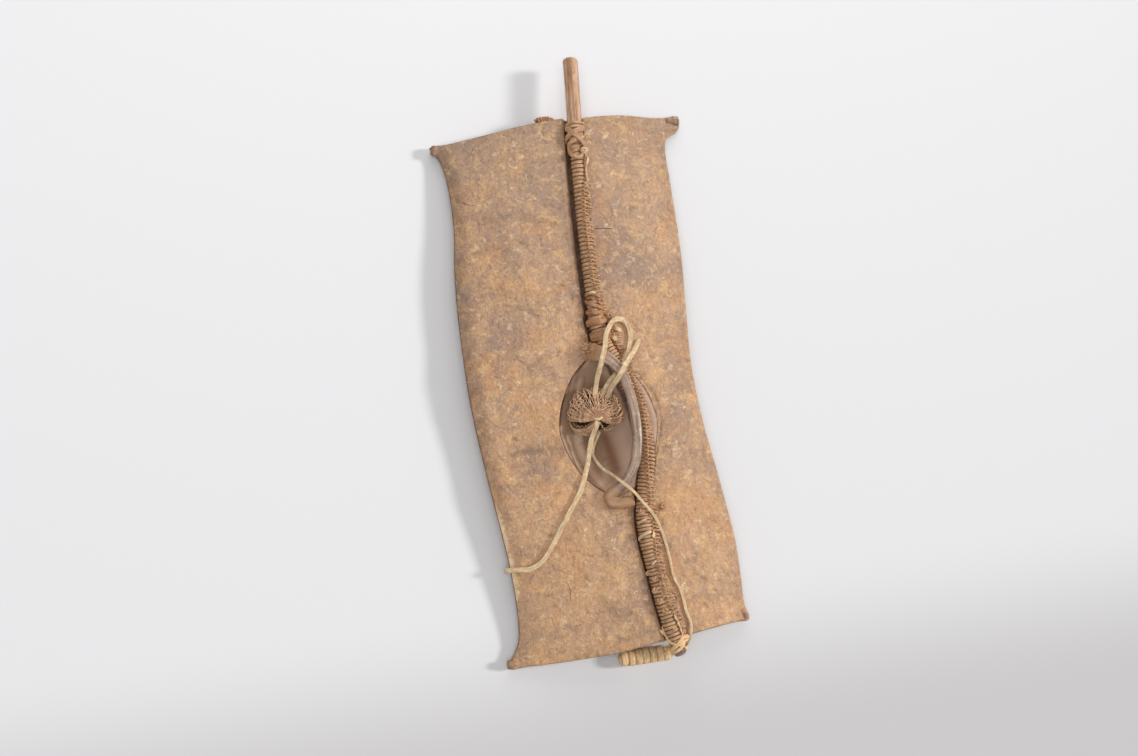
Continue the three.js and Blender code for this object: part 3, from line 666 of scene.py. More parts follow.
def strip_material(
    name, base, dark, light, fineness, stretch, roughness, dirt, depth=0.0004, level=0.3, ends=None
):
    """Strips and cords of hide: fibres along them, blotches and dirt, perhaps browner ends, and painted shade
    towards each strip's edges, where it meets its neighbours.
    """
    material, tree, shader = started(name)
    straight = attribute(tree, "straight").outputs["Vector"]
    place = object_place(tree)
    fibre, blotch = use_fibres(tree, straight, fineness, stretch)
    tone = mixed(tree, stepped(tree, fibre, 0.35, 0.65), dark, base)
    tone = mixed(tree, sums(tree, "MULTIPLY", stepped(tree, blotch, 0.5, 0.68), 0.7), tone, light)
    if ends:
        run = add(tree, "ShaderNodeSeparateXYZ", {0: straight}).outputs[2]
        first, last = stepped(tree, run, ends[0], ends[0] * 0.4), stepped(tree, run, ends[1], ends[1] + 0.03)
        near_end = sums(tree, "MULTIPLY", sums(tree, "ADD", first, last), 0.85)
        tone = mixed(tree, near_end, tone, tint(178, 132, 92))
    tone = use_grime(tree, place, tone, tint(84, 58, 42), dirt, 55.0)
    # Painted shade: each strip darkens towards its edges, where it meets the next turn.
    side = stepped(tree, attribute(tree, "edge").outputs["Fac"], 0.6, 1.0, 0.0, 0.5)
    tone = mixed(tree, side, tone, tint(84, 58, 42))
    tree.links.new(tone, shader.inputs["Base Color"])
    shader.inputs["Roughness"].default_value = roughness
    shader.inputs["Specular IOR Level"].default_value = level
    relief(tree, shader, [(fibre, 0.8, depth), (cloud(tree, place, 700.0, 3.0), 0.4, depth * 0.6)])
    return material


def wood_material():
    c = colours()
    material, tree, shader = started("Whittled wood")
    straight = attribute(tree, "straight").outputs["Vector"]
    place = object_place(tree)
    grain = cloud(tree, stretched(tree, straight, (260, 260, 9)), 1.0, 5.0, 0.6, 0.5)
    pores = cloud(tree, stretched(tree, straight, (900, 900, 40)), 1.0, 3.0, 0.6)
    tone = mixed(tree, stepped(tree, grain, 0.42, 0.60), c.stave, tint(214, 174, 140))
    tone = mixed(tree, sums(tree, "MULTIPLY", stepped(tree, pores, 0.54, 0.66), 0.7), tone, tint(112, 78, 56))
    tone = use_grime(tree, place, tone, tint(96, 66, 48), 0.5, 26.0)
    height = add(tree, "ShaderNodeSeparateXYZ", {0: straight}).outputs[2]
    tone = mixed(tree, stepped(tree, height, -0.38, -0.41, 0, 0.75), tone, tint(92, 64, 46))
    tree.links.new(tone, shader.inputs["Base Color"])
    tree.links.new(stepped(tree, grain, 0.3, 0.7, 0.26, 0.42), shader.inputs["Roughness"])
    shader.inputs["Specular IOR Level"].default_value = 0.45
    relief(tree, shader, [(grain, 0.35, 0.0005), (pores, 0.35, 0.0002)])
    return material


def floor_material():
    material, tree, shader = started("Pale floor")
    height = add(tree, "ShaderNodeSeparateXYZ", {0: object_place(tree)}).outputs[1]
    # Painted shade: the floor darkens towards negative y, where the light falls off.
    near = stepped(tree, height, -0.34, -0.60)
    tree.links.new(mixed(tree, near, colours().floor, tint(208, 206, 207)), shader.inputs["Base Color"])
    shader.inputs["Roughness"].default_value = 0.85
    shader.inputs["Specular IOR Level"].default_value = 0.1
    return material


# Each strip's finish: its name, its own, darker and lighter colours, and how its fibres and surface look.
STRIPS = {
    "lacing": (
        "Dark lacing", "lacing", (170, 126, 90), (232, 196, 154),
        {"fineness": 1100, "stretch": 130, "roughness": 0.46, "dirt": 0.45, "depth": 0.0005, "level": 0.45},
    ),
    "windings": (
        "Fat strip", "windings", (150, 102, 66), (216, 170, 122),
        {"fineness": 500, "stretch": 50, "roughness": 0.42, "dirt": 0.4, "depth": 0.0005, "level": 0.45},
    ),
    "grip": (
        "Rolled grip", "grip", (136, 110, 92), (206, 178, 152),
        {"fineness": 260, "stretch": 16, "roughness": 0.34, "dirt": 0.3, "depth": 0.00025, "level": 0.5,
         "ends": (0.045, 0.235)},
    ),
    "strands": (
        "Curly strands", "strands", (192, 146, 110), (246, 212, 178),
        {"fineness": 900, "stretch": 120, "roughness": 0.55, "dirt": 0.12},
    ),
    # The dark crease finish paints shade: dark bands along the recess's lip and in the sharp creases.
    "crease": (
        "Crease shade", (74, 54, 44), (54, 38, 30), (92, 68, 54),
        {"fineness": 900, "stretch": 60, "roughness": 0.8, "dirt": 0.3},
    ),
    "core": (
        "Strand shadow", (58, 40, 31), (44, 30, 24), (76, 52, 40),
        {"fineness": 900, "stretch": 120, "roughness": 0.8, "dirt": 0.4},
    ),
    # The roll's finish: a warmer copy of the thong's, painted paler as if more lit.
    "roll": (
        "Rolled thong", "roll", (214, 168, 120), (252, 230, 188),
        {"fineness": 700, "stretch": 60, "roughness": 0.55, "dirt": 0.2},
    ),
    "thong": (
        "Pale thong", "thong", (204, 170, 126), (248, 230, 196),
        {"fineness": 700, "stretch": 60, "roughness": 0.55, "dirt": 0.25},
    ),
}


@cache
def material_of(finish):
    """A finish's material, which is made when a piece first asks for it."""
    if finish == "hide":
        return hide_material()
    if finish == "wood":
        return wood_material()
    name, tone, dark, light, look = STRIPS[finish]
    base = getattr(colours(), tone) if isinstance(tone, str) else tint(*tone)
    return strip_material(name, base, tint(*dark), tint(*light), **look)


# Geometry nodes


def node_tree(name, inputs):
    tree = bpy.data.node_groups.new(name, "GeometryNodeTree")
    tree.interface.new_socket("Geometry", in_out="INPUT", socket_type="NodeSocketGeometry")
    for label, kind in inputs:
        tree.interface.new_socket(label, in_out="INPUT", socket_type=kind)
    tree.interface.new_socket("Geometry", in_out="OUTPUT", socket_type="NodeSocketGeometry")
    return tree, tree.nodes.new("NodeGroupInput").outputs, tree.nodes.new("NodeGroupOutput").inputs


def wobble(tree, scale, seed, spread):
    """Smooth noise about nothing, along the run of a curve."""
    place = add(tree, "GeometryNodeInputPosition").outputs[0]
    inputs = {"Vector": place, "W": seed, "Scale": scale, "Detail": 1.0}
    value = add(tree, "ShaderNodeTexNoise", inputs, noise_dimensions="4D").outputs[0]
    return sums(tree, "MULTIPLY", sums(tree, "SUBTRACT", value, 0.5), spread)


def named(tree, geometry, name, kind, value):
    """Stores a value on each point under a name."""
    inputs = {"Geometry": geometry, "Name": name, "Value": value}
    return add(tree, "GeometryNodeStoreNamedAttribute", inputs, data_type=kind, domain="POINT").outputs[0]


def kept(tree, name, kind="FLOAT_VECTOR"):
    """The value that was stored under a name."""
    return add(tree, "GeometryNodeInputNamedAttribute", {"Name": name}, data_type=kind).outputs[0]


def without(tree, mesh, *names):
    """The mesh without values that were only needed on the way."""
    for name in names:
        mesh = add(tree, "GeometryNodeRemoveAttribute", {"Geometry": mesh, "Name": name}).outputs[0]
    return mesh


def random_value(tree, low, high, **inputs):
    values = {2: low, 3: high, **inputs}
    return add(tree, "FunctionNodeRandomValue", values, data_type="FLOAT").outputs[1]


def swept(tree, curve, width, thick, sides):
    """A strip with an oval section along a curve, its flat side to the curve's normal, closed at its ends."""
    ring = add(tree, "GeometryNodeCurvePrimitiveCircle", {"Resolution": sides, "Radius": 0.5}).outputs[0]
    size = add(tree, "ShaderNodeCombineXYZ", {0: thick, 1: width, 2: 1.0}).outputs[0]
    ring = add(tree, "GeometryNodeTransform", {"Geometry": ring, "Scale": size}).outputs[0]
    round_place = add(tree, "GeometryNodeInputPosition").outputs[0]
    ring = named(tree, ring, "section", "FLOAT_VECTOR", round_place)
    run = add(tree, "GeometryNodeSplineParameter").outputs["Length"]
    curve = named(tree, curve, "run", "FLOAT", run)
    inputs = {"Curve": curve, "Profile Curve": ring, "Fill Caps": True}
    mesh = add(tree, "GeometryNodeCurveToMesh", inputs).outputs[0]
    section = kept(tree, "section")
    far = add(tree, "ShaderNodeCombineXYZ", {2: kept(tree, "run", "FLOAT")}).outputs[0]
    mesh = named(tree, mesh, "straight", "FLOAT_VECTOR", vector_math(tree, "ADD", section, far))
    # How near each point is to the strip's side edges, where the strips' finish paints shade.
    apart = sums(tree, "ABSOLUTE", add(tree, "ShaderNodeSeparateXYZ", {0: section}).outputs[1])
    mesh = named(tree, mesh, "edge", "FLOAT", sums(tree, "DIVIDE", apart, sums(tree, "MULTIPLY", width, 0.5)))
    return without(tree, mesh, "section", "run")


def ended(tree, geometry, material, out):
    geometry = add(tree, "GeometryNodeRealizeInstances", {"Geometry": geometry}).outputs[0]
    geometry = add(tree, "GeometryNodeSetShadeSmooth", {"Geometry": geometry}).outputs[0]
    geometry = add(tree, "GeometryNodeSetMaterial", {"Geometry": geometry, "Material": material}).outputs[0]
    tree.links.new(geometry, out)


def around_axis(tree, turn):
    """The way out from an axis curve at an angle, and the curve's own tangent."""
    tangent = add(tree, "GeometryNodeInputTangent").outputs[0]
    side = vector_math(tree, "NORMALIZE", vector_math(tree, "CROSS_PRODUCT", tangent, (0, 0, 1)))
    up = vector_math(tree, "CROSS_PRODUCT", side, tangent)
    across = scaled(tree, side, sums(tree, "COSINE", turn))
    return vector_math(tree, "ADD", across, scaled(tree, up, sums(tree, "SINE", turn))), tangent


@cache
def winding_tree():
    """A strip wound round an axis curve. The curve's radius is the winding's own."""
    tree, ins, outs = node_tree("Winding", [
        ("Turns", "NodeSocketFloat"),
        ("Steps", "NodeSocketInt"),
        ("Width", "NodeSocketFloat"),
        ("Thickness", "NodeSocketFloat"),
        ("Unevenness", "NodeSocketFloat"),
        ("Slant", "NodeSocketFloat"),
        ("Seed", "NodeSocketFloat"),
        ("Sides", "NodeSocketInt"),
        ("Material", "NodeSocketMaterial"),
    ])
    count = sums(tree, "MULTIPLY", ins["Turns"], ins["Steps"])
    axis = add(tree, "GeometryNodeResampleCurve", {"Curve": ins[0], "Count": count}).outputs[0]
    share = add(tree, "GeometryNodeSplineParameter").outputs["Factor"]
    turn = sums(tree, "MULTIPLY", sums(tree, "MULTIPLY", share, ins["Turns"]), 2 * math.pi)
    out, tangent = around_axis(tree, turn)
    reach = add(tree, "GeometryNodeInputRadius").outputs[0]
    rise = sums(tree, "ADD", reach, wobble(tree, 140.0, ins["Seed"], ins["Unevenness"]))
    slide = sums(tree, "MULTIPLY", sums(tree, "COSINE", turn), ins["Slant"])
    drift = wobble(tree, 90.0, sums(tree, "ADD", ins["Seed"], 7.0), ins["Unevenness"])
    slide = sums(tree, "ADD", slide, drift)
    push = vector_math(tree, "ADD", scaled(tree, out, rise), scaled(tree, tangent, slide))
    axis = named(tree, axis, "outward", "FLOAT_VECTOR", out)
    axis = named(tree, axis, "push", "FLOAT_VECTOR", push)
    moved = {"Geometry": axis, "Offset": kept(tree, "push")}
    coil = add(tree, "GeometryNodeSetPosition", moved).outputs[0]
    coil = add(tree, "GeometryNodeSetCurveRadius", {"Curve": coil, "Radius": 1.0}).outputs[0]
    facing = {"Curve": coil, "Normal": kept(tree, "outward")}
    coil = add(tree, "GeometryNodeSetCurveNormal", facing, mode="FREE").outputs[0]
    mesh = swept(tree, coil, ins["Width"], ins["Thickness"], ins["Sides"])
    ended(tree, without(tree, mesh, "outward", "push"), ins["Material"], outs[0])
    return tree


@cache
def row_tree():
    """Copies of one small form in a row along an axis curve, out from it at an angle."""
    tree, ins, outs = node_tree("Row", [
        ("Count", "NodeSocketInt"),
        ("Form", "NodeSocketObject"),
        ("Angle", "NodeSocketFloat"),
        ("Lift", "NodeSocketFloat"),
        ("Smallest", "NodeSocketFloat"),
        ("Largest", "NodeSocketFloat"),
        ("Seed", "NodeSocketInt"),
        ("Material", "NodeSocketMaterial"),
    ])
    axis = add(tree, "GeometryNodeResampleCurve", {"Curve": ins[0], "Count": ins["Count"]}).outputs[0]
    index = add(tree, "GeometryNodeInputIndex").outputs[0]

    def chance(low, high, step):
        """A number for each copy, between low and high."""
        return random_value(tree, low, high, ID=index, Seed=sums(tree, "ADD", ins["Seed"], step))

    turn = sums(tree, "ADD", ins["Angle"], chance(-0.09, 0.09, 1.0))
    out, tangent = around_axis(tree, turn)
    reach = sums(tree, "ADD", add(tree, "GeometryNodeInputRadius").outputs[0], ins["Lift"])
    axis = named(tree, axis, "outward", "FLOAT_VECTOR", out)
    axis = named(tree, axis, "ahead", "FLOAT_VECTOR", tangent)
    axis = named(tree, axis, "push", "FLOAT_VECTOR", scaled(tree, out, reach))
    moved = {"Geometry": axis, "Offset": kept(tree, "push")}
    axis = add(tree, "GeometryNodeSetPosition", moved).outputs[0]
    ways = {0: kept(tree, "outward"), 1: kept(tree, "ahead")}
    facing = add(tree, "FunctionNodeAxesToRotation", ways, primary_axis="Z", secondary_axis="Y").outputs[0]
    leans = {0: chance(-0.15, 0.15, 2.0), 2: chance(-0.3, 0.3, 3.0)}
    lean = add(tree, "ShaderNodeCombineXYZ", leans).outputs[0]
    lean = add(tree, "FunctionNodeEulerToRotation", {0: lean}).outputs[0]
    facing = add(tree, "FunctionNodeRotateRotation", {0: facing, 1: lean}, rotation_space="LOCAL").outputs[0]
    form = add(tree, "GeometryNodeObjectInfo", {"Object": ins["Form"]}).outputs["Geometry"]
    size = chance(ins["Smallest"], ins["Largest"], 4.0)
    inputs = {"Points": axis, "Instance": form, "Rotation": facing, "Scale": size}
    row = add(tree, "GeometryNodeInstanceOnPoints", inputs).outputs[0]
    ended(tree, row, ins["Material"], outs[0])
    return tree


@cache
def strand_tree():
    """Curly strands along guide curves."""
    tree, ins, outs = node_tree("Strands", [
        ("Steps", "NodeSocketInt"),
        ("Radius", "NodeSocketFloat"),
        ("Curl", "NodeSocketFloat"),
        ("Curl length", "NodeSocketFloat"),
        ("Seed", "NodeSocketFloat"),
        ("Material", "NodeSocketMaterial"),
    ])
    curve = add(tree, "GeometryNodeResampleCurve", {"Curve": ins[0], "Count": ins["Steps"]}).outputs[0]
    parameter = add(tree, "GeometryNodeSplineParameter")
    number = add(tree, "GeometryNodeCurveOfPoint").outputs["Curve Index"]
    start = random_value(tree, 0.0, 6.28, ID=number)
    phase = sums(tree, "ADD", sums(tree, "DIVIDE", parameter.outputs["Length"], ins["Curl length"]), start)
    tangent = add(tree, "GeometryNodeInputTangent").outputs[0]
    normal = add(tree, "GeometryNodeInputNormal").outputs[0]
    side = vector_math(tree, "CROSS_PRODUCT", tangent, normal)
    along = {0: parameter.outputs["Factor"], 1: 0.02, 2: 0.3, 3: 0.1, 4: 1.0}
    freed = add(tree, "ShaderNodeMapRange", along, clamp=True).outputs[0]
    place = add(tree, "GeometryNodeInputPosition").outputs[0]
    curly = stepped(tree, cloud(tree, place, 38.0, 1.0), 0.38, 0.6, 0.25, 1.5)
    reach = sums(tree, "MULTIPLY", sums(tree, "MULTIPLY", ins["Curl"], freed), curly)
    push = vector_math(
        tree, "ADD",
        scaled(tree, side, sums(tree, "MULTIPLY", sums(tree, "SINE", phase), reach)),
        scaled(tree, normal, sums(tree, "MULTIPLY", sums(tree, "COSINE", phase), reach)),
    )
    jitter = sums(tree, "MULTIPLY", wobble(tree, 160.0, ins["Seed"], 3.0), reach)
    push = vector_math(tree, "ADD", push, scaled(tree, side, jitter))
    curve = add(tree, "GeometryNodeSetPosition", {"Geometry": curve, "Offset": push}).outputs[0]
    double = sums(tree, "MULTIPLY", ins["Radius"], 2.0)
    ended(tree, swept(tree, curve, double, double, 5), ins["Material"], outs[0])
    return tree


def curve_of(name, lines, radii=None):
    """A curve of straight runs in metres, with a radius at each point."""
    data = bpy.data.curves.new(name, "CURVE")
    data.dimensions = "3D"
    for number, line in enumerate(lines):
        run = data.splines.new("POLY")
        run.points.add(len(line) - 1)
        for i, place in enumerate(line):
            run.points[i].co = (*place, 1)
            run.points[i].radius = radii[number][i] if radii else 1.0
    return added(name, data)


def grown(name, holder, tree, values, finish):
    """The plain mesh that a node tree makes of a holder, which is then removed."""
    material = material_of(finish)
    modifier = holder.modifiers.new("Nodes", "NODES")
    modifier.node_group = tree
    sockets = {item.name: item.identifier for item in tree.interface.items_tree if item.in_out == "INPUT"}
    for label, value in {**values, "Material": material}.items():
        modifier[sockets[label]] = value
    holder.update_tag()
    bpy.context.view_layer.update()
    graph = bpy.context.evaluated_depsgraph_get()
    mesh = bpy.data.meshes.new_from_object(holder.evaluated_get(graph), depsgraph=graph)
    holder.modifiers.remove(modifier)
    bpy.data.objects.remove(holder)
    mesh.name = name
    if not mesh.materials:
        mesh.materials.append(material)
    if not len(mesh.polygons):
        raise RuntimeError(f"{name} came out empty")
    return dressed(added(name, mesh))


# Routes, in millimetres: across, along, and over the stave's axis

GRIP_ROUTE = [
    (2, 42, 7), (10, 38, 12.5), (20, 32, 19.5), (34, 20, 22), (46, 2, 23), (53, -24, 23.5), (56, -52, 24),
    (56, -82, 24), (53, -110, 23), (45, -135, 21), (33, -157, 16), (17, -171, 9), (3, -177, 4.8),
    (-6, -185, 4.4), (1, -193, 4.6), (14, -196, 5.2), (26, -196, 5.5), (34, -195, 5.7),
]
LOOP_ROUTE = [
    (4, -24, 10), (7, -12, 12), (10, -1, 17), (15, 12, 24), (22, 30, 27.6), (27, 43, 26.5), (32, 61, 22.5),
    (40, 74, 17), (49, 83, 7), (60, 86, -1.5), (69, 81, -4.4), (73, 70, -5), (73, 59, -5), (70, 46, -3.8),
    (66, 36, 2), (60, 26, 10.5), (54, 16, 15.6), (48, 8, 16.4), (40, 1, 16), (31, -6, 13.5), (24, -14, 9.8),
    (18, -22, 7.6),
]
END_ROUTE = [
    (23, -29, 9.5), (28, -20, 16), (34, -13, 24), (41, -5, 29), (47, 3, 29.8), (53, 11, 28.8), (59, 18, 24),
    (66, 26, 16), (73, 33, 7.5), (80, 43, -0.5), (86, 51, -5.2),
]
EDGE_ROUTE = [
    (-3, -76, 6.6), (-7, -84, 3.5), (-11, -92, 1), (-15, -105, -1.5), (-20, -122, -2), (-26, -138, -0.4),
    (-33, -154, 0.8), (-40, -168, -0.2), (-56, -190, -2.3), (-71, -211, -4.8), (-87, -234, -8.3),
    (-99, -250, -11), (-112, -262, -14.1), (-128, -268, -17.7), (-142, -267, -20.4), (-152, -266, -21.6),
    (-160.8, -265.5, -25.2), (-163.5, -265, -32.5), (-163.5, -264.5, -39.5),
]
LONG_ROUTE = [
    (-2, -91, -7), (-8, -102, -9), (-10, -112, -9.5), (-6, -124, -8.5), (1, -136, -5), (12, -148, 6),
    (20, -158, 17), (28, -167, 20.6), (40, -180, 16.6), (52, -198, 14.6), (58, -206, 13.6), (65, -217, 8.5),
    (70, -226, 1), (74, -237, -6.2), (77, -248, -7.6), (81, -282, -8.4), (83, -308, -9.2), (91, -334, -10.4),
    (94, -360, -11.4), (98, -382, -11.2), (96.5, -394, -11.1), (94, -403, -16.5), (87, -413, -25),
    (78, -419, -34), (68, -420.5, -39.5), (62, -420.5, -41),
]


def routed(route, step=1.6):
    return spline([(x, y, rise + STAVE_RISE) for x, y, rise in route], step)


def oval(width, thick, angle, flat=0.75):
    """A strip's section: an oval with flattened faces."""
    c, s = math.cos(angle), math.sin(angle)
    return (
        width / 2 * math.copysign(abs(c) ** flat, c),
        thick / 2 * math.copysign(abs(s) ** flat, s),
    )


# The operators


SENSOR_WIDTH = 36
FOCAL_PIXELS = 1700
PICTURE_WIDTH = 1138
FLOOR_REACH = 6.0


class SHIELD_OT_stage(Operator):
    """Lays the pale floor, and sets the lights and the camera"""

    bl_idname = "shield.stage"
    bl_label = "Stage"

    def execute(self, context):
        scene = context.scene
        scene.view_settings.view_transform = "Standard"
        scene.view_settings.look = "None"
        mesh = bpy.data.meshes.new("floor")
        r = FLOOR_REACH
        mesh.from_pydata([(-r, -r, 0), (r, -r, 0), (r, r, 0), (-r, r, 0)], [], [(0, 1, 2, 3)])
        mesh.materials.append(floor_material())
        added("floor", mesh)
        world = bpy.data.worlds.new("Pale room")
        scene.world = world
        world.use_nodes = True
        sky = world.node_tree.nodes["Background"]
        sky.inputs["Color"].default_value = (0.985, 0.985, 1.0, 1)
        sky.inputs["Strength"].default_value = 0.34
        for kind, name, place, power, size in (
            ("SUN", "Key", (0.86, -0.02, 0.51), 1.85, 0.16),
            ("SUN", "Fill", (-0.14, -0.14, 0.98), 0.82, 0.7),
            ("AREA", "Top", (0.3, 2.4, 1.5), 22.0, 2.2),
        ):
            lamp = bpy.data.lights.new(name, kind)
            lamp.energy = power
            if kind == "SUN":
                lamp.angle = size
            else:
                lamp.size = size
            turned = (-Vector(place)).to_track_quat("-Z", "Y").to_matrix().to_4x4()
            added(name, lamp).matrix_world = Matrix.Translation(place) @ turned
        camera = bpy.data.cameras.new("camera")
        camera.sensor_width = SENSOR_WIDTH
        camera.lens = SENSOR_WIDTH * FOCAL_PIXELS / PICTURE_WIDTH
        camera.clip_end = 50
        right = Vector((0.98222644, -0.1463984, 0.11746797))
        up = Vector((0.12739741, 0.9795746, 0.15557477))
        ahead = Vector((0.13784454, 0.13784454, -0.98081485))
        turned = Matrix((right, up, -ahead)).transposed().to_4x4()
        place = Vector((-382.24, -346.18, 2559.08)) + ORIGIN
        scene.camera = added("camera", camera)
        scene.camera.matrix_world = Matrix.Translation(place * MM) @ turned
        return {"FINISHED"}


def thong(name, route, width, thick, seed, far_end, tucks):
    """A flat limp thong along its route, a little uneven in width and edge, tucked in at its ends."""
    line = routed(route)
    for end, beside, far, tuck in ((0, 1, 0, tucks[0]), (-1, -2, len(line) + 1, tucks[1])):
        if tuck:
            line.insert(far, line[end] + (line[end] - line[beside]).normalized() * tuck)
    rng = random.Random(seed)
    waves = [(rng.uniform(8, 30), rng.uniform(0, 6)) for _ in range(3)]
    total = sum((b - a).length for a, b in zip(line, line[1:]))

    def section(share, angle):
        run = share * total
        uneven = 1 + 0.05 * sum(math.sin(run / w + p) for w, p in waves) / 3
        end = 1 - 0.25 * math.exp(-((1 - share) * total / 3) ** 2)
        a, b = oval(width * uneven * end, thick, angle, 0.6)
        curl = 0.16 * width * (a / (width / 2)) ** 2 * (0.6 + 0.4 * math.sin(run / 19 + seed))
        return a, b + curl * 0.6

    points, faces, straight = lofted(line, section, 14)
    piece = finished(name, points, faces, "thong", straight)
    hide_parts(name)
    return piece


class SHIELD_OT_thongs(Operator):
    """Makes the four loose thongs along their routes"""

    bl_idname = "shield.thongs"
    bl_label = "Thongs"

    def execute(self, context):
        thong("loop_thong", LOOP_ROUTE, 7.5, 2.2, 3, "object", (9, 9))
        thong("end_thong", END_ROUTE, 7.5, 2.2, 5, "bare", (9, 0))
        thong("edge_thong", EDGE_ROUTE, 7.5, 2.2, 8, "bare", (11, 0))
        thong("long_thong", LONG_ROUTE, 4.6, 2.2, 11, "object", (13, 0))
        return {"FINISHED"}


# Marks on the hide, in millimetres across and along: a run of points, its width, its depth, and how dark it
# is painted for the shade and grime in the crease.
CREASES = [
    (
        [(60, 14), (74, 0), (86, -19), (97, -37), (101, -60), (100, -78), (96, -92), (88, -116), (75, -146)],
        2.4, 1.1, 0.35,
    ),
    ([(-56, -100), (-80, -97), (-118, -94), (-130, -96)], 6, 0.4, 0.35),
    ([(-150, 280), (-110, 262), (-70, 268), (-44, 250)], 7, 0.6, 0.22),
    ([(-140, 215), (-120, 222), (-96, 214)], 4, 0.5, 0.30),
    ([(-110, 130), (-80, 118), (-60, 104)], 2.2, 0.8, 0.40),
    ([(-98, 40), (-84, 30), (-60, 46)], 2.2, 0.8, 0.30),
    ([(60, 300), (72, 294), (80, 286)], 3, 0.6, 0.15),
    ([(96, 120), (120, 124), (150, 116)], 3, 0.5, 0.15),
    ([(-30, -330), (-12, -352), (10, -362)], 8, 0.6, 0.30),
    ([(-20, -392), (16, -388), (40, -384)], 5, 0.5, 0.35),
]
# Swellings in the recess and on the hide: a run of points, its width and its rise.
RIDGES = [
    ([(17, -86), (21, -108), (25, -138)], 7, 2.4),
    ([(37, -84), (41, -106), (40, -130)], 9, 4.0),
    ([(26, -196), (18, -208), (6, -232), (-2, -262), (-8, -300)], 9, 1.8),
    ([(118, 330), (128, 250), (130, 180)], 14, 1.0),
]
# Pale spots, partly chipped hide and partly painted glints of light: the place across and along, and the
# size.
CHIPS_AND_GLINTS = [
    (98, -324, 9), (101, -332, 5), (0, -243, 8), (-3, -258, 6), (-39, -223, 5), (-37, -229, 4), (4, -214, 6),
    (12, -206, 5), (130, 378, 5), (84, 376, 7), (60, 384, 8), (95, -30, 5), (112, -20, 5), (-160, -330, 6),
    (-150, -290, 5), (-60, -330, 5), (-100, -6, 5), (-92, -14, 4), (-108, 64, 4), (62, 236, 8), (52, 246, 6),
    (-8, 24, 5), (-40, 60, 4), (-130, 20, 4), (140, -60, 4), (118, -110, 4), (60, 120, 4), (-140, 332, 5),
    (-124, 56, 5), (-123, 19, 5), (-107, 10, 7), (-134, 6, 5), (-147, -28, 5), (-88, 107, 4),
    (-66, 50, 5), (-117, -3, 4),
]


def line_distance(x, y, points):
    best = np.full(x.shape, 1e9)
    for (ax, ay), (bx, by) in zip(points, points[1:]):
        dx, dy = bx - ax, by - ay
        t = np.clip(((x - ax) * dx + (y - ay) * dy) / (dx * dx + dy * dy), 0, 1)
        best = np.minimum(best, np.hypot(x - ax - t * dx, y - ay - t * dy))
    return best


HIDE_COLUMNS = (66, 48, 44, 74)
HIDE_ROWS = 324


def hide_columns(along):
    """Places across the hide at a share of its length, close together at the groove."""
    y = along * HALF_LENGTH
    left = HALF_WIDTH * float(left_share(along))
    right = HALF_WIDTH * float(right_share(along))
    groove = float(groove_radius(y))
    middle = float(stave_x(y))
    first, last = middle - 1.5 * groove, middle + 1.3 * groove
    outer, near, inner, far = HIDE_COLUMNS
    apart = min(abs(y - RECESS_Y) / (RECESS_LENGTH / 2), 1)
    rim = RECESS_X - RECESS_WIDTH / 2 * (1 - apart**RECESS_POINT) ** (1 / RECESS_POINT)
    rim = min(rim, first - 8)
    steps = np.arange(near) / near
    shares = np.linspace(-1, 1, inner + 1)
    bent = np.sin(shares * math.pi / 2) * 0.35 + shares * 0.65
    return np.concatenate([
        left + (rim - left) * (1 - (1 - np.arange(outer) / outer) ** 1.25),
        rim + (first - rim) * steps**1.5,
        (first + last) / 2 + (last - first) / 2 * bent,
        last + (right - last) * (np.arange(far) + 1) / far,
    ])


def soft_noise(x, y, scale, seed):
    across, along = seed * 17.3, seed * 5.1
    places = (Vector((a * scale + across, b * scale + along, seed)) for a, b in zip(x.flat, y.flat))
    return np.array([noise.noise(place) for place in places]).reshape(x.shape)


def worn(x, y):
    """How far the hide's top is below its plain form, and how dark its creases are painted, for the shade and
    grime in them.
    """
    sizes = bpy.context.scene.shield_hide
    reach = recess_reach(x, y)
    calm = 1 - 0.75 * smooth(reach, 1.0, 0.955)
    broad, small = soft_noise(x, y, 1 / 70, 1), soft_noise(x, y, 1 / 17, 2)
    sink = (0.5 + 0.5 * broad) * sizes.dent / MM * calm + (0.5 + 0.5 * small) * sizes.ripple / MM * calm
    dark = np.zeros(x.shape)
    for points, width, depth, shade in CREASES:
        near = np.exp(-((line_distance(x, y, points) / width) ** 2))
        sink = sink + depth * near
        dark = np.maximum(dark, shade * near)
    for points, width, rise in RIDGES:
        sink = sink - rise * np.exp(-((line_distance(x, y, points) / width) ** 2)) * 0.7
    fall = sizes.lip / MM * smooth(x, 44, 14) * smooth(reach, 1.0, 0.972)
    sink = sink + fall * (1 - 0.8 * smooth(reach, 0.97, 0.4))
    return np.maximum(sink, -3 * smooth(reach, 1.0, 0.9)), dark, broad, small


def surface(x, y):
    """The hide's worn top at one place."""
    x, y = np.array([float(x)]), np.array([float(y)])
    return float(hide_top(x, y)[0] - worn(x, y)[0][0])


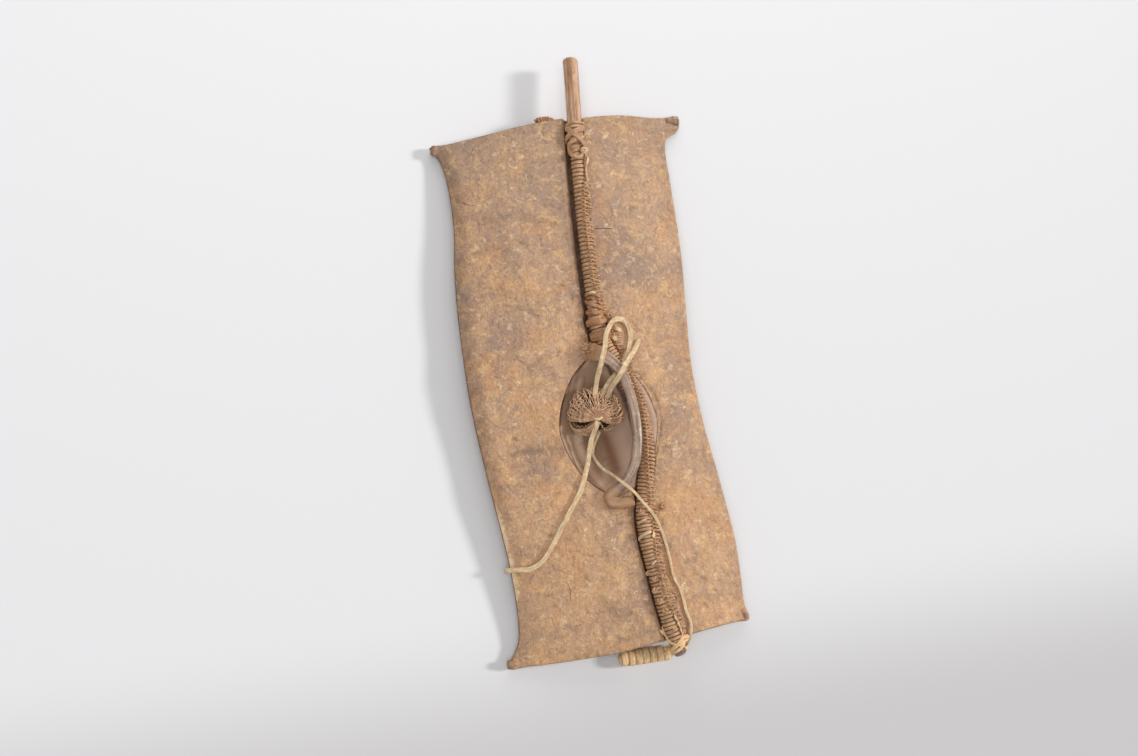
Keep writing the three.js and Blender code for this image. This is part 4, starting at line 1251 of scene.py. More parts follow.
def hide_marks(x, y, dark, broad, small):
    """How pale, dark, smooth and brown the hide is at each of its top points. The pale marks include painted
    glints, and the dark ones painted shade.
    """
    off, groove = across_stave(x, y), groove_radius(y)
    in_recess = smooth(recess_reach(x, y), 1.0, 0.955)
    pale = np.zeros(x.shape)
    for sx, sy, spot in CHIPS_AND_GLINTS:
        along, aslant = (x - sx + y - sy) / 1.9, (x - sx - y + sy) / 1.05
        pale = np.maximum(pale, 0.82 * np.exp(-((along**2 + aslant**2) / spot**2)))
    edge_run = np.minimum(x - x[:, :1], x[:, -1:] - x)
    edge_up = np.minimum(y - foot_edge(x), top_edge(x) - y)
    edge = np.minimum(edge_run, edge_up)
    pale = np.maximum(pale, 0.45 * np.exp(-edge / 2.0))
    strip = np.exp(-(((x - x[:, :1]) / 7) ** 2)) * smooth(y, -140, -190) * smooth(y, -335, -300)
    pale = np.maximum(pale, 1.15 * strip)
    # Painted shadow of the stave on the left panel's shoulder, outside the recess.
    shoulder = np.exp(-(((off + groove + 6) / 9) ** 2)) * (off < 0) * (1 - in_recess)
    dark = np.maximum(dark, 0.25 * shoulder)
    # Painted shade in the groove, under the stave.
    beside = np.abs(off)
    dark = np.maximum(dark, 0.85 * (beside < groove * 0.97) * smooth(beside, groove, groove * 0.8))
    # Darker near every edge; and painted shade along the left edge, where the panel turns away from the
    # light, left off towards the foot.
    dark = np.maximum(dark, 0.22 * smooth(edge, 26, 4) * (0.5 + 0.5 * broad))
    dark = np.maximum(dark, (0.5 + 0.2 * small) * smooth(x - x[:, :1], 30, 5) * smooth(y, -290, -160))
    dark = dark * (1 - 0.85 * strip)
    # Darker in a band along the stave's right side.
    beside_stave_right = smooth(off, groove.mean() * 3.2, groove.mean()) * (off > 0)
    dark = np.maximum(dark, 0.20 * beside_stave_right * (0.6 + 0.4 * small))
    smooth_mark = in_recess * smooth(x, 116, 84)
    brown = np.exp(-((line_distance(x, y, RIDGES[0][0]) / 8) ** 2))
    return np.stack([pale, dark, smooth_mark, brown], 2).reshape(-1, 4)


class SHIELD_OT_hide(Operator):
    """Makes the one stiff hide, with its groove, hand recess, creases and stains; its marks also paint shade
    in the groove, the creases and on the left and cut edges, and glints of light.
    """

    bl_idname = "shield.hide"
    bl_label = "Hide"

    def execute(self, context):
        rows = HIDE_ROWS + 1
        x = np.array([hide_columns(-1 + 2 * r / HIDE_ROWS) for r in range(rows)])
        share = (np.arange(rows) / HIDE_ROWS)[:, None]
        y = foot_edge(x) * (1 - share) + top_edge(x) * share
        columns = x.shape[1]
        sink, dark, broad, small = worn(x, y)
        top = hide_top(x, y) - sink
        step = THICKNESS
        tilt_x = (hide_top(x + step, y) - hide_top(x - step, y)) / (2 * step)
        tilt_y = (hide_top(x, y + step) - hide_top(x, y - step)) / (2 * step)
        down = np.stack([tilt_x, tilt_y, -np.ones(x.shape)], 2)
        down = down / np.linalg.norm(down, axis=2, keepdims=True)
        depth = (THICKNESS + tip_bulge(x, y))[:, :, None]
        upper = np.stack([x, y, top], 2)
        lower = np.stack([x, y, hide_top(x, y)], 2) + down * depth
        lower[:, :, 2] = np.maximum(lower[:, :, 2], REST_LEVEL)
        keep_rows = list(range(0, rows, 2))
        keep_columns = list(range(0, columns, 2))
        if keep_rows[-1] != rows - 1 or keep_columns[-1] != columns - 1:
            raise RuntimeError("the hide's grid has an odd number of steps")
        under = lower[np.ix_(keep_rows, keep_columns)]
        r2, c2 = under.shape[:2]
        points = [tuple(p) for p in upper.reshape(-1, 3)]
        base = len(points)
        points += [tuple(p) for p in under.reshape(-1, 3)]
        marks = hide_marks(x, y, dark, broad, small)
        under_marks = np.zeros((r2 * c2, 4))
        under_marks[:, 1] = 0.1
        marks = np.concatenate([marks, under_marks])

        def top_at(r, c):
            return r * columns + c

        def under_at(r, c):
            return base + (r // 2) * c2 + c // 2

        faces = []
        for r in range(rows - 1):
            for c in range(columns - 1):
                faces.append((top_at(r, c), top_at(r, c + 1), top_at(r + 1, c + 1), top_at(r + 1, c)))
        for r in range(0, rows - 1, 2):
            for c in range(0, columns - 1, 2):
                faces.append((under_at(r, c), under_at(r + 2, c), under_at(r + 2, c + 2), under_at(r, c + 2)))
        loop = [(0, c) for c in range(columns - 1)]
        loop += [(r, columns - 1) for r in range(rows - 1)]
        loop += [(rows - 1, c) for c in range(columns - 1, 0, -1)]
        loop += [(r, 0) for r in range(rows - 1, 0, -1)]
        rings = []
        extra_marks = []
        inward = {}
        for r, c in loop:
            inner = upper[min(max(r, 2), rows - 3), min(max(c, 2), columns - 3)]
            out = np.array([upper[r, c, 0] - inner[0], upper[r, c, 1] - inner[1], 0.0])
            inward[(r, c)] = out / max(np.linalg.norm(out), 1e-6)
        for lift in (0.14, 0.5, 0.86):
            ring = []
            bulge = math.sin(lift * math.pi) ** 0.7 * 0.42
            rubbed = 0.5 if lift < 0.3 else 0.2
            for r, c in loop:
                a, b = upper[r, c], lower[r, c]
                place = a + (b - a) * lift + inward[(r, c)] * np.linalg.norm(b - a) * bulge
                ring.append(len(points))
                points.append(tuple(place))
                # The cut edge: paler near the face where rubbed, and darkened on its thickness, much darker
                # on the left edge as painted shade, since that edge faces away from the light.
                extra_marks.append((0.1, 0.85, 0, 0) if c == 0 else (rubbed, 0.3, 0, 0))
            rings.append(ring)
        marks = np.concatenate([marks, np.array(extra_marks)])
        first = [top_at(r, c) for r, c in loop]
        count = len(loop)
        for a, b in zip([first] + rings, rings):
            for i in range(count):
                j = (i + 1) % count
                faces.append((a[j], a[i], b[i], b[j]))
        last = rings[-1]
        for i in range(0, count, 2):
            j, k = (i + 1) % count, (i + 2) % count
            r, c = loop[i]
            rk, ck = loop[k]
            low, low_next = under_at(r, c), under_at(rk, ck)
            faces.append((last[j], last[i], low))
            faces.append((last[k], last[j], low, low_next))
        points = [tuple((Vector(p) + ORIGIN) * MM) for p in points]
        piece = finished("hide", points, faces, "hide", marks=marks)
        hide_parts("hide_panel")
        return {"FINISHED"}


# How far the lacing's wraps stand out from their own inner side.
WRAPS = 2.6


def hidden_share(y):
    """The stave is slimmer where the lacing hides it."""
    upper = smooth(y, 100, 120) * smooth(y, 360, 345)
    lower = smooth(y, 100, 80) * smooth(y, STAVE_FOOT_Y + 2, STAVE_FOOT_Y + 14)
    return 1 - 0.45 * upper - 0.14 * lower


def lace_radius(y):
    """How far out the lacing's own inner side is from its middle."""
    upper = smooth(y, 84, 110) * smooth(y, 372, 346)
    return stave_radius(y) * 0.90 + (8.3 - stave_radius(y) * 0.90) * upper


def lace_shift(y):
    return 2.2 * smooth(y, 84, 130) * smooth(y, 372, 346)


def lace_point(y, angle, radius):
    """A place round the lacing's middle, with the angle in degrees from the right."""
    here, _, side, up = stave_frame(y)
    turn = math.radians(angle)
    out = side * math.cos(turn) + up * math.sin(turn)
    return here + side * float(lace_shift(y)) + out * radius, out


class SHIELD_OT_stave(Operator):
    """Makes the bent, whittled stave"""

    bl_idname = "shield.stave"
    bl_label = "Stave"

    def execute(self, context):
        low, high = STAVE_FOOT_Y, STAVE_TOP_Y
        count = 330
        sides = 40
        facets = 9
        levels = [low + (high - low) * i / count for i in range(count + 1)]
        points, straight, faces = [], [], []
        for i, y in enumerate(levels):
            radius = float(stave_radius(y))
            from_end = min(y - low, high - y)
            blunt = 1 - 0.16 * math.exp(-((from_end / 1.4) ** 2))
            here, along, side, up = stave_frame(y)
            drift = 0.35 * noise.noise(Vector((y * 0.011, 3.1, 0.2)))
            for j in range(sides):
                angle = 2 * math.pi * j / sides
                wander = 0.25 * noise.noise(Vector((y * 0.02, math.floor(j * facets / sides), 9.0)))
                bend = ((angle + drift) * facets / (2 * math.pi)) % 1 - 0.5 + wander * 0.3
                flat = 0.945 / math.cos(bend * 2 * math.pi / facets)
                dent = 0.012 * noise.noise(Vector((math.cos(angle) * 2, math.sin(angle) * 2, y * 0.03)))
                reach = radius * min(flat + dent, 0.995) * blunt * float(hidden_share(y))
                cut = along * (0.4 * reach * math.sin(angle) * max(0, 1 - (y - low) / 8))
                place = here + side * (reach * math.cos(angle)) + up * (reach * math.sin(angle)) + cut
                points.append((place + ORIGIN) * MM)
                straight.append((reach * math.cos(angle) * MM, reach * math.sin(angle) * MM, y * MM))
        for i in range(count):
            for j in range(sides):
                k = (j + 1) % sides
                faces.append([i * sides + j, (i + 1) * sides + j, (i + 1) * sides + k, i * sides + k])
        for end in (0, count):
            here, along, _, _ = stave_frame(levels[end])
            cap = len(points)
            points.append((here + along * (-0.4 if end == 0 else 0.4) + ORIGIN) * MM)
            straight.append((0, 0, levels[end] * MM))
            for j in range(sides):
                a, b = end * sides + j, end * sides + (j + 1) % sides
                faces.append([cap, a, b] if end == 0 else [cap, b, a])
        piece = finished("stave_wood", points, faces, "wood", straight)
        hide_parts("stave")
        return {"FINISHED"}


def wound(name, holder, turns, width, thick, uneven, seed, finish, steps, sides, slant):
    """A strip wound about a holder's line."""
    values = {
        "Turns": float(turns), "Steps": steps, "Width": width, "Thickness": thick, "Unevenness": uneven,
        "Slant": slant, "Seed": float(seed), "Sides": sides,
    }
    return grown(name, holder, winding_tree(), values, finish)


def tube_parts(line, radius, sides=6):
    """A plain round cord along a line in millimetres."""
    return lofted(line, lambda share, angle: (radius * math.cos(angle), radius * math.sin(angle)), sides)


def band_parts(line, width, thick, sides=12, normal=None, taper=0.25):
    """A strip along a line in millimetres, narrower at its two ends."""

    def section(share, angle):
        end = 1 - taper * max(0, abs(2 * share - 1) * 4 - 3) ** 2
        return oval(width * end, thick * (0.5 + 0.5 * end), angle, 0.7)

    return lofted(line, section, sides, normal)


def about_parts(width, thick, taper, *route):
    """A strip about the lacing, through places given as height, angle in degrees and rise over the wraps."""
    spans = [i / (len(route) - 1) for i in range(len(route))]
    heights, angles, rises = (through(list(zip(spans, each))) for each in zip(*route))
    steps = max(8, 8 * len(route))
    line, ways = [], []
    for i in range(steps + 1):
        y = float(heights(i / steps))
        reach = float(lace_radius(y)) + WRAPS + float(rises(i / steps))
        place, out = lace_point(y, float(angles(i / steps)), reach)
        line.append(place)
        ways.append(out)
    return band_parts(line, width, thick, normal=lambda i: ways[i], taper=taper)


def strips(*rows):
    """Several strips about the lacing, each a row of what about_parts takes."""
    return [about_parts(*row) for row in rows]


def knot_parts(place, size, seed, sides=7):
    """A small ball of cord tied on itself."""
    rng = random.Random(seed)
    turn = Matrix.Rotation(rng.uniform(0, 6.3), 3, "Z") @ Matrix.Rotation(rng.uniform(-0.5, 0.5), 3, "X")
    line = []
    for i in range(49):
        t = 2 * math.pi * i / 48 * 0.985
        wave = 2 + math.cos(3 * t)
        at = Vector((wave * math.cos(2 * t), wave * math.sin(2 * t), 1.2 * math.sin(3 * t))) * (size / 3.4)
        line.append(Vector(place) + turn @ at)
    return tube_parts(line, size * 0.36, sides)


def assembled(name, parts, finish, node):
    """Several parts as one piece, which replaces a node of the frame."""
    points, faces, straight = joined(parts)
    piece = finished(name, points, faces, finish, straight)
    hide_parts(node)
    return piece


def hitch_form(cord):
    """One half hitch: it comes over the wrap, loops under itself and runs off into the hide."""
    route = [
        (-6.0, 1.2, -2.2), (-3.6, 0.6, 0.2), (-1.0, -0.6, 1.5), (1.6, -1.9, 1.5), (3.2, -1.0, 0.6),
        (2.7, 1.1, 0.8), (0.4, 2.1, 2.0), (-1.5, 0.9, 2.9), (0.1, -0.7, 3.2), (2.7, -1.7, 1.9),
        (4.5, -2.6, -0.5), (5.9, -3.4, -2.6),
    ]
    steps = frames_along(spline(route, 0.7))
    points, sides = [], 6
    for here, _, side, up in steps:
        for j in range(sides):
            angle = 2 * math.pi * j / sides
            place = here + side * (cord / 2 * math.cos(angle)) + up * (cord / 2 * math.sin(angle))
            points.append(place * MM)
    faces = tube_faces(len(steps), sides)
    faces.append(list(reversed(range(sides))))
    faces.append([(len(steps) - 1) * sides + j for j in range(sides)])
    mesh = bpy.data.meshes.new("hitch form")
    mesh.from_pydata([tuple(p) for p in points], [], faces)
    layer = mesh.attributes.new("straight", "FLOAT_VECTOR", "POINT")
    layer.data.foreach_set("vector", np.array(points, np.float32).ravel())
    return added("hitch form", mesh)


def row_of(name, line, pitch, angle, form, smallest, largest, seed, finish):
    """Copies of a form in a row along a line."""
    total = sum((b - a).length for a, b in zip(line, line[1:]))
    shift = [(p + ORIGIN) * MM for p in line]
    holder = curve_of(name + " line", [shift], [[0.0] * len(line)])
    values = {
        "Count": int(total / pitch), "Form": form, "Angle": angle, "Lift": 0.0, "Smallest": smallest,
        "Largest": largest, "Seed": seed,
    }
    return grown(name, holder, row_tree(), values, finish)


# The row of hitches, across and along.
UPPER_HITCHES = [
    (38, 300), (35.8, 288), (32.0, 257), (29.8, 226), (28.8, 179), (29.6, 132), (34, 108), (40, 88),
]
LOWER_HITCHES = [
    (45, 76), (52, 47), (57.9, 27), (63.2, 2), (67.8, -19), (71, -42), (71.5, -73), (71, -103), (68.5, -126),
    (65, -163), (63, -193), (61, -252), (60, -282), (62.5, -312), (67, -343), (74.4, -367), (82, -392),
]


def hitch_line(marks):
    """The row of hitches follows its marks, on the lacing or on the hide beside it."""
    flat = spline([(x, y, 0) for x, y in marks], 3.0)
    line = []
    for place in flat:
        y = place.y
        radius = float(lace_radius(y)) + WRAPS
        off = float(across_stave(place.x, y)) - float(lace_shift(y))
        laced = float(stave_z(y)) + (math.sqrt(radius * radius - off * off) if abs(off) < radius else -99)
        line.append(Vector((place.x, y, max(laced, surface(place.x, y) + 0.6) - 0.4)))
    return line


class SHIELD_OT_lacing(Operator):
    """Winds the lacing round the stave, with its crossing strips, knots and row of hitches"""

    bl_idname = "shield.lacing"
    bl_label = "Lacing"

    def execute(self, context):
        sizes = context.scene.shield_lacing
        cord = sizes.cord / MM
        middle = (WINDINGS_FOOT + WINDINGS_TOP) / 2
        for name, node, low, high, pitch, seed in (
            ("upper_wraps", "upper_lacing", middle, LACING_TOP + 2, sizes.upper_pitch / MM, 3),
            ("lower_wraps", "lower_lacing", STAVE_FOOT_Y + 13, middle, sizes.lower_pitch / MM, 5),
        ):
            count = int((high - low) / 4)
            levels = [low + (high - low) * i / count for i in range(count + 1)]
            line = [(lace_point(y, 0, 0)[0] + ORIGIN) * MM for y in levels]
            radii = [(float(lace_radius(y)) + cord / 2) * MM for y in levels]
            holder = curve_of(name + " axis", [line], [radii])
            turns = round((high - low) / pitch)
            width = pitch * MM * 0.95
            piece = wound(
                name, holder, turns, width, sizes.cord, 0.0021, seed, "lacing", 20, 8, 0.0012
            )
            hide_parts(node)
        form = hitch_form(sizes.hitch / MM)
        for name, marks, node, angle, seed in (
            ("upper_hitches", UPPER_HITCHES, "upper_lacing", 1.05, 4),
            ("lower_hitches", LOWER_HITCHES, "lower_lacing", 1.15, 9),
        ):
            line = hitch_line(marks)
            pitch = sizes.hitch_pitch / MM
            piece = row_of(name, line, pitch, angle, form, 1.15, 1.6, seed, "lacing")
            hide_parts(node)
        mesh = form.data
        bpy.data.objects.remove(form)
        bpy.data.meshes.remove(mesh)
        self.top_knot()
        self.lower_knots()
        return {"FINISHED"}

    def top_knot(self):
        """The strips that cross at the lacing's top, with a round knot and a pale tail."""
        parts = strips(
            (4.4, 2.6, 0.25, (398, -80, 0.4), (397, 60, 1.0), (395, 180, 0.8), (393, 280, 0.4)),
            (4.2, 2.6, 0.25, (393, -60, 0.4), (391, 90, 1.4), (388, 200, 0.6)),
            (
                8.5, 3.2, 0.25, (392, 5, 1.0), (388, 50, 3.0), (380, 110, 3.2), (374, 160, 1.8),
                (368, 230, 0.5),
            ),
            (
                8.0, 3.2, 0.25, (392, 178, 1.2), (384, 130, 2.4), (372, 80, 4.0), (361, 42, 3.6),
                (352, 10, 1.0),
            ),
            (
                6.5, 3.0, 0.25, (376, 20, 0.8), (372, 70, 2.0), (366, 120, 2.6), (358, 168, 1.6),
                (352, 220, 0.4),
            ),
            (
                6.2, 3.0, 0.25, (362, 176, 0.6), (352, 160, 2.4), (345, 128, 3.4), (342, 92, 3.4),
                (346, 62, 3.0),
            ),
        )
        knot, _ = lace_point(353, 52, float(lace_radius(353)) + 6.4)
        spiral = []
        for i in range(56):
            t = i / 55 * 4.2 * math.pi
            reach = 1.0 + 4.6 * i / 55
            spiral.append(knot + Vector((reach * math.cos(t), reach * math.sin(t), 2.6 - 2.6 * i / 55)))
        tail = about_parts(
            4.8, 2.6, 0.25, (351, 34, 4.0), (343, 36, 3.6), (334, 40, 3.2), (322, 42, 3.0), (308, 44, 2.8),
            (292, 46, 2.4), (282, 50, 1.0),
        )
        assembled("top_crossing", parts + [tail], "lacing", "upper_lacing")
        ends = strips(
            (4.4, 2.2, 0.7, (344, 30, 5.0), (340, 36, 7.0), (334, 42, 6.6), (329, 46, 5.0)),
            (3.0, 2.0, 0.7, (309, 50, 4.4), (306, 48, 5.8), (303, 44, 4.6)),
            (2.8, 1.8, 0.7, (285, 42, 3.4), (281, 46, 5.0), (278, 50, 3.8)),
        )
        assembled("top_tail", [tube_parts(spiral, 1.45, 8)] + ends, "thong", "upper_lacing")

    def lower_knots(self):
        """Lumps and pale ends where the lacing was tied off and mended."""
        lumps = [(30, 128, 4.6), (24, 121, 4.2), (36, 116, 3.6), (40, 104, 3.6), (45, 92, 4.2), (47, 80, 3.8)]
        mended = [
            (44, -300, 3.6), (52, -310, 4.4), (60, -318, 4.2), (50, -326, 4.4), (62, -334, 4.8),
            (54, -343, 4.6), (68, -348, 4.2), (60, -358, 4.6), (72, -360, 3.8), (58, -218, 4.0),
            (47, -208, 4.6), (60, -204, 4.2), (76, -372, 3.8), (80, -382, 3.6), (84, -392, 3.6),
            (70, -386, 3.6),
        ]
        for name, places, node in (
            ("upper_lumps", lumps, "upper_lacing"),
            ("lower_lumps", mended, "lower_lacing"),
        ):
            parts = []
            for number, (x, y, size) in enumerate(places):
                radius = float(lace_radius(y)) + 2.0
                off = float(across_stave(x, y)) - float(lace_shift(y))
                rise = math.sqrt(max(radius * radius - off * off, 4))
                parts.append(knot_parts((x, y, float(stave_z(y)) + rise), size, number))
            assembled(name, parts, "lacing", node)
        curl = knot_parts((82, -204, surface(82, -204) + 3.0), 5.0, 40)
        strands = []
        for number in range(26):
            rng = random.Random(number)
            y = rng.uniform(-268, -196) if number % 3 else rng.uniform(-420, -300) * 0.9
            x = float(stave_x(y)) + 7
            line = []
            for k in range(6):
                px, py = x + k * rng.uniform(3.0, 4.6), y - k * rng.uniform(1.0, 4.5)
                line.append((px, py, max(surface(px, py) + 0.6, 51.5 - 3.6 * k)))
            strands.append(tube_parts(spline(line, 1.5), 0.75, 5))
        assembled("stray_strands", [curl] + strands, "lacing", "lower_lacing")
        pale = strips(
            (5.0, 2.0, 0.6, (-249, 172, 0.6), (-245, 140, 2.2), (-241, 100, 3.0), (-239, 62, 2.2)),
            (5.5, 2.0, 0.7, (-248, 60, 2.0), (-245, 46, 2.6), (-240, 34, 1.4)),
            (3.6, 1.8, 0.7, (-226, 150, 0.8), (-222, 110, 1.6), (-220, 80, 0.8)),
            (3.8, 2.0, 0.6, (-366, 40, 1.2), (-371, 52, 3.2), (-376, 36, 2.0)),
            (3.8, 2.0, 0.6, (-376, 28, 1.6), (-381, 44, 3.6), (-386, 30, 2.0)),
            (3.8, 2.0, 0.6, (-386, 24, 1.6), (-391, 40, 3.4), (-396, 26, 1.6)),
            (3.0, 1.6, 0.7, (-288, 110, 1.2), (-284, 84, 2.2), (-286, 60, 1.0)),
        )
        assembled("pale_ends", pale, "thong", "lower_lacing")


class SHIELD_OT_windings(Operator):
    """Winds the fat strips that bind the grip's upper end"""

    bl_idname = "shield.windings"
    bl_label = "Windings"

    def execute(self, context):
        fat = context.scene.shield_lacing.fat_strip / MM
        parts = strips(
            (
                10.5, fat, 0, (88, -110, 0.6), (86, -20, 0.8), (84, 50, 1.6), (83, 90, 2.0), (85, 150, 1.8),
                (86, 250, 0.6),
            ),
            (
                14.5, fat * 1.05, 0, (70, -110, 0.6), (66, -20, 1.0), (62, 50, 1.8), (62, 90, 2.2),
                (64, 150, 2.0), (68, 250, 0.6),
            ),
            (
                6.5, 4.0, 0.25, (120, 200, 0.2), (117, 160, 1.6), (112, 120, 2.8), (106, 70, 2.6),
                (104, 30, 1.2), (104, -20, 0.2),
            ),
            (6.0, 3.6, 0.25, (104, 200, 0.2), (101, 165, 1.6), (98, 120, 2.2), (97, 80, 2.0), (99, 40, 1.0)),
            (
                6.0, 3.4, 0.25, (126, 170, 0.8), (128, 130, 2.2), (126, 90, 3.2), (122, 50, 2.2),
                (120, 20, 0.6),
            ),
        )
        assembled("fat_windings", parts, "windings", "grip_windings")
        chips = [
            band_parts(self.beside([(50, 75, 3.0), (55, 71, 6.0), (60, 67, 3.4)]), 6.0, 2.4, taper=0.7),
            band_parts(self.beside([(43, 63, 4.0), (47, 58.5, 7.0), (51, 54, 4.4)]), 7.0, 2.6, taper=0.7),
            about_parts(4.0, 2.0, 0.8, (128, 122, 3.2), (129, 100, 4.8), (127, 78, 3.8)),
        ]
        assembled("pale_chips", chips, "thong", "grip_windings")
        return {"FINISHED"}

    def beside(self, marks):
        """A short line over the hide, through places given with their rise over it."""
        return spline([(x, y, surface(x, y) + rise) for x, y, rise in marks], 1.2)


GRIP_LINE = GRIP_ROUTE[:9] + [
    (46, -135, 21), (36, -153, 16.5), (24, -165, 11.5), (12, -171.5, 8), (3.5, -178, 6.4), (5, -186.5, 6.6),
    (15, -190.5, 7.2), (27, -191, 7.6), (38, -190, 7.4),
]
GRIP_WIDTHS = through([
    (0, 27), (0.04, 27), (0.09, 21), (0.16, 16.5), (0.3, 15), (0.55, 15.5), (0.66, 15.5), (0.76, 16),
    (0.88, 18), (1, 16),
])
GRIP_DEPTHS = through([(0, 4), (0.06, 5), (0.14, 7), (0.3, 8), (0.65, 8), (0.8, 8.5), (1, 8)])


class SHIELD_OT_grip(Operator):
    """Makes the rolled hide grip over the recess, torn where it comes out from under the windings"""

    bl_idname = "shield.grip"
    bl_label = "Grip"

    def execute(self, context):
        def section(share, angle):
            width, deep = float(GRIP_WIDTHS(share)), float(GRIP_DEPTHS(share))
            torn = math.exp(-share / 0.07)
            rough = noise.noise(Vector((share * 60, math.cos(angle) * 2, math.sin(angle) * 2)))
            soft = noise.noise(Vector((share * 14, math.cos(angle), math.sin(angle))))
            a, b = oval(width, deep, angle, 0.85)
            return a * (1 + 0.05 * soft + 0.34 * torn * rough), b * (1 + 0.08 * soft + 0.8 * torn * rough)

        points, faces, straight = lofted(routed(GRIP_LINE, 1.3), section, 26)
        piece = finished("rolled_grip", points, faces, "grip", straight)
        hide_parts("hand_grip")
        rng = random.Random(21)
        fringe = []
        for _ in range(60):
            x, y = rng.uniform(-5, 12), rng.uniform(26, 55)
            turn = rng.uniform(1.6, 4.4)
            z = STAVE_RISE + 12.2 + rng.uniform(-1.5, 2.4)
            line = []
            for k in range(4):
                reach = k * rng.uniform(1.2, 2.4)
                rise = z + 0.5 * k - 0.28 * k * k
                line.append((x + reach * math.cos(turn), y + reach * math.sin(turn), rise))
            fringe.append(tube_parts(spline(line, 1.0), 0.62, 5))
        assembled("torn_fringe", fringe, "lacing", "hand_grip")
        return {"FINISHED"}


POMPOM_HALF = Vector((43, 37, 26))
POMPOM_KNOT = Vector((0.04, -0.46, 0.88)).normalized()
POMPOM_ACROSS = (Vector((1, 0, 0)) - POMPOM_KNOT * POMPOM_KNOT.x).normalized()
POMPOM_AROUND = POMPOM_KNOT.cross(POMPOM_ACROSS)
# Each hollow in the pompom: its place across and along from the middle, and how wide it is.
HOLLOWS = [(-20, -20, 8.5), (12.5, -25, 8.0)]


def pompom_centre():
    low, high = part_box("pompom")
    return (Vector(low) + Vector(high)) / 2 / MM - ORIGIN


def pompom_way(lean, turn):
    """The way out from the pompom's middle, at a lean from its knot and a turn about it."""
    flat = POMPOM_ACROSS * math.cos(turn) + POMPOM_AROUND * math.sin(turn)
    return POMPOM_KNOT * math.cos(lean) + flat * math.sin(lean)


def pompom_place(way, size):
    """A place that way out from the pompom's middle, as a share of its half size."""
    return Vector((way.x * POMPOM_HALF.x, way.y * POMPOM_HALF.y, way.z * POMPOM_HALF.z)) * size


def hollowed(place, deep, spread):
    """Lowers a place that lies over one of the pompom's hollows."""
    for x, y, wide in HOLLOWS:
        gone = math.hypot(place.x - x, place.y - y)
        if gone < wide * spread and place.z > 0:
            place.z -= deep * (1 - gone / wide / spread)


class SHIELD_OT_pompom(Operator):
    """Makes the pompom of curly hide strands, gathered at one knot"""

    bl_idname = "shield.pompom"
    bl_label = "Pompom"

    def execute(self, context):
        sizes = context.scene.shield_pompom
        rng = random.Random(12)
        centre = pompom_centre()
        lines = []
        for n in range(sizes.strands):
            turn = 2 * math.pi * (n * 0.618034 % 1) + rng.uniform(-0.05, 0.05)
            outer = n % 3
            reach = rng.uniform(1.7, 2.4) if outer else rng.uniform(0.9, 2.0)
            depth = rng.uniform(0.93, 1.0) if outer else rng.uniform(0.76, 0.87)
            sway = rng.uniform(-0.2, 0.2)
            down = (turn + math.pi / 2 + math.pi) % (2 * math.pi) - math.pi
            if abs(down) < 0.32:
                continue
            aside = 0.35 * math.copysign(math.exp(-((down / 0.9) ** 2)), down)
            line = []
            for k in range(16):
                lean = 0.05 + reach * k / 15
                t = turn + sway * math.sin(lean * 2.2) + aside * lean
                swell = 0.70 + 0.30 * min(1, lean / 0.7) ** 0.6
                lobes = 1 + 0.05 * math.cos(3 * t + 0.6) * math.sin(min(lean, 1.5))
                place = pompom_place(pompom_way(lean, t), depth * swell * lobes)
                hollowed(place, 9, 1)
                line.append(placed(*(centre + place)))
            clear = min(
                math.hypot(p.x / MM - ORIGIN.x - centre.x - hx, p.y / MM - ORIGIN.y - centre.y - hy) / wide
                for p in line[3:] for hx, hy, wide in HOLLOWS
            )
            if clear > 0.6 or rng.random() < 0.12:
                lines.append(line)
        holder = curve_of("strand guides", lines)
        values = {"Steps": 36, "Radius": sizes.strand, "Curl": sizes.curl, "Curl length": 0.0010, "Seed": 4.0}
        piece = grown("pompom_strands", holder, strand_tree(), values, "strands")
        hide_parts("pompom")
        core, faces, straight = [], [], []
        rings, sides = 24, 36
        for i in range(rings + 1):
            lean = math.pi * i / rings
            for j in range(sides):
                way = pompom_way(lean, 2 * math.pi * j / sides)
                swell = 0.57 + 0.19 * min(1, lean / 0.75) ** 0.7 + 0.02 * noise.noise(way * 4)
                place = pompom_place(way, swell)
                hollowed(place, 8, 1.3)
                core.append(placed(*(centre + place)))
                straight.append(tuple(core[-1]))
                if i in (0, rings):
                    break
        start = [0] + [1 + (i - 1) * sides for i in range(1, rings + 1)]
        for j in range(sides):
            k = (j + 1) % sides
            faces.append([0, start[1] + j, start[1] + k])
            faces.append([start[rings], start[rings - 1] + k, start[rings - 1] + j])
            for i in range(1, rings - 1):
                faces.append([start[i] + j, start[i + 1] + j, start[i + 1] + k, start[i] + k])
        inner = finished("pompom_core", core, faces, "core", straight)
        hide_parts("pompom")
        knot = centre + pompom_place(POMPOM_KNOT, 0.80)
        lip = [(-6.5, 3.0, -1.5), (-4, 0.4, 1.0), (0, -0.6, 2.0), (4, 0.6, 1.2), (6.5, 3.4, -1.2)]
        lip = [knot + Vector(p) for p in lip]
        stem = [(-2.5, 1, 0.5), (-4.5, -7, -0.5), (-8, -17, -5), (-12, -30, -11), (-15, -40, -14)]
        stem = [knot + Vector(p) for p in stem]
        parts = [tube_parts(spline(lip, 1.0), 2.3, 8), band_parts(spline(stem, 1.4), 5.0, 2.2)]
        assembled("pompom_knot", parts, "thong", "pompom")
        return {"FINISHED"}


ROLL_START, ROLL_AXIS_Y, ROLL_LENGTH, ROLL_RADIUS = -14, -419, 80, 12.6


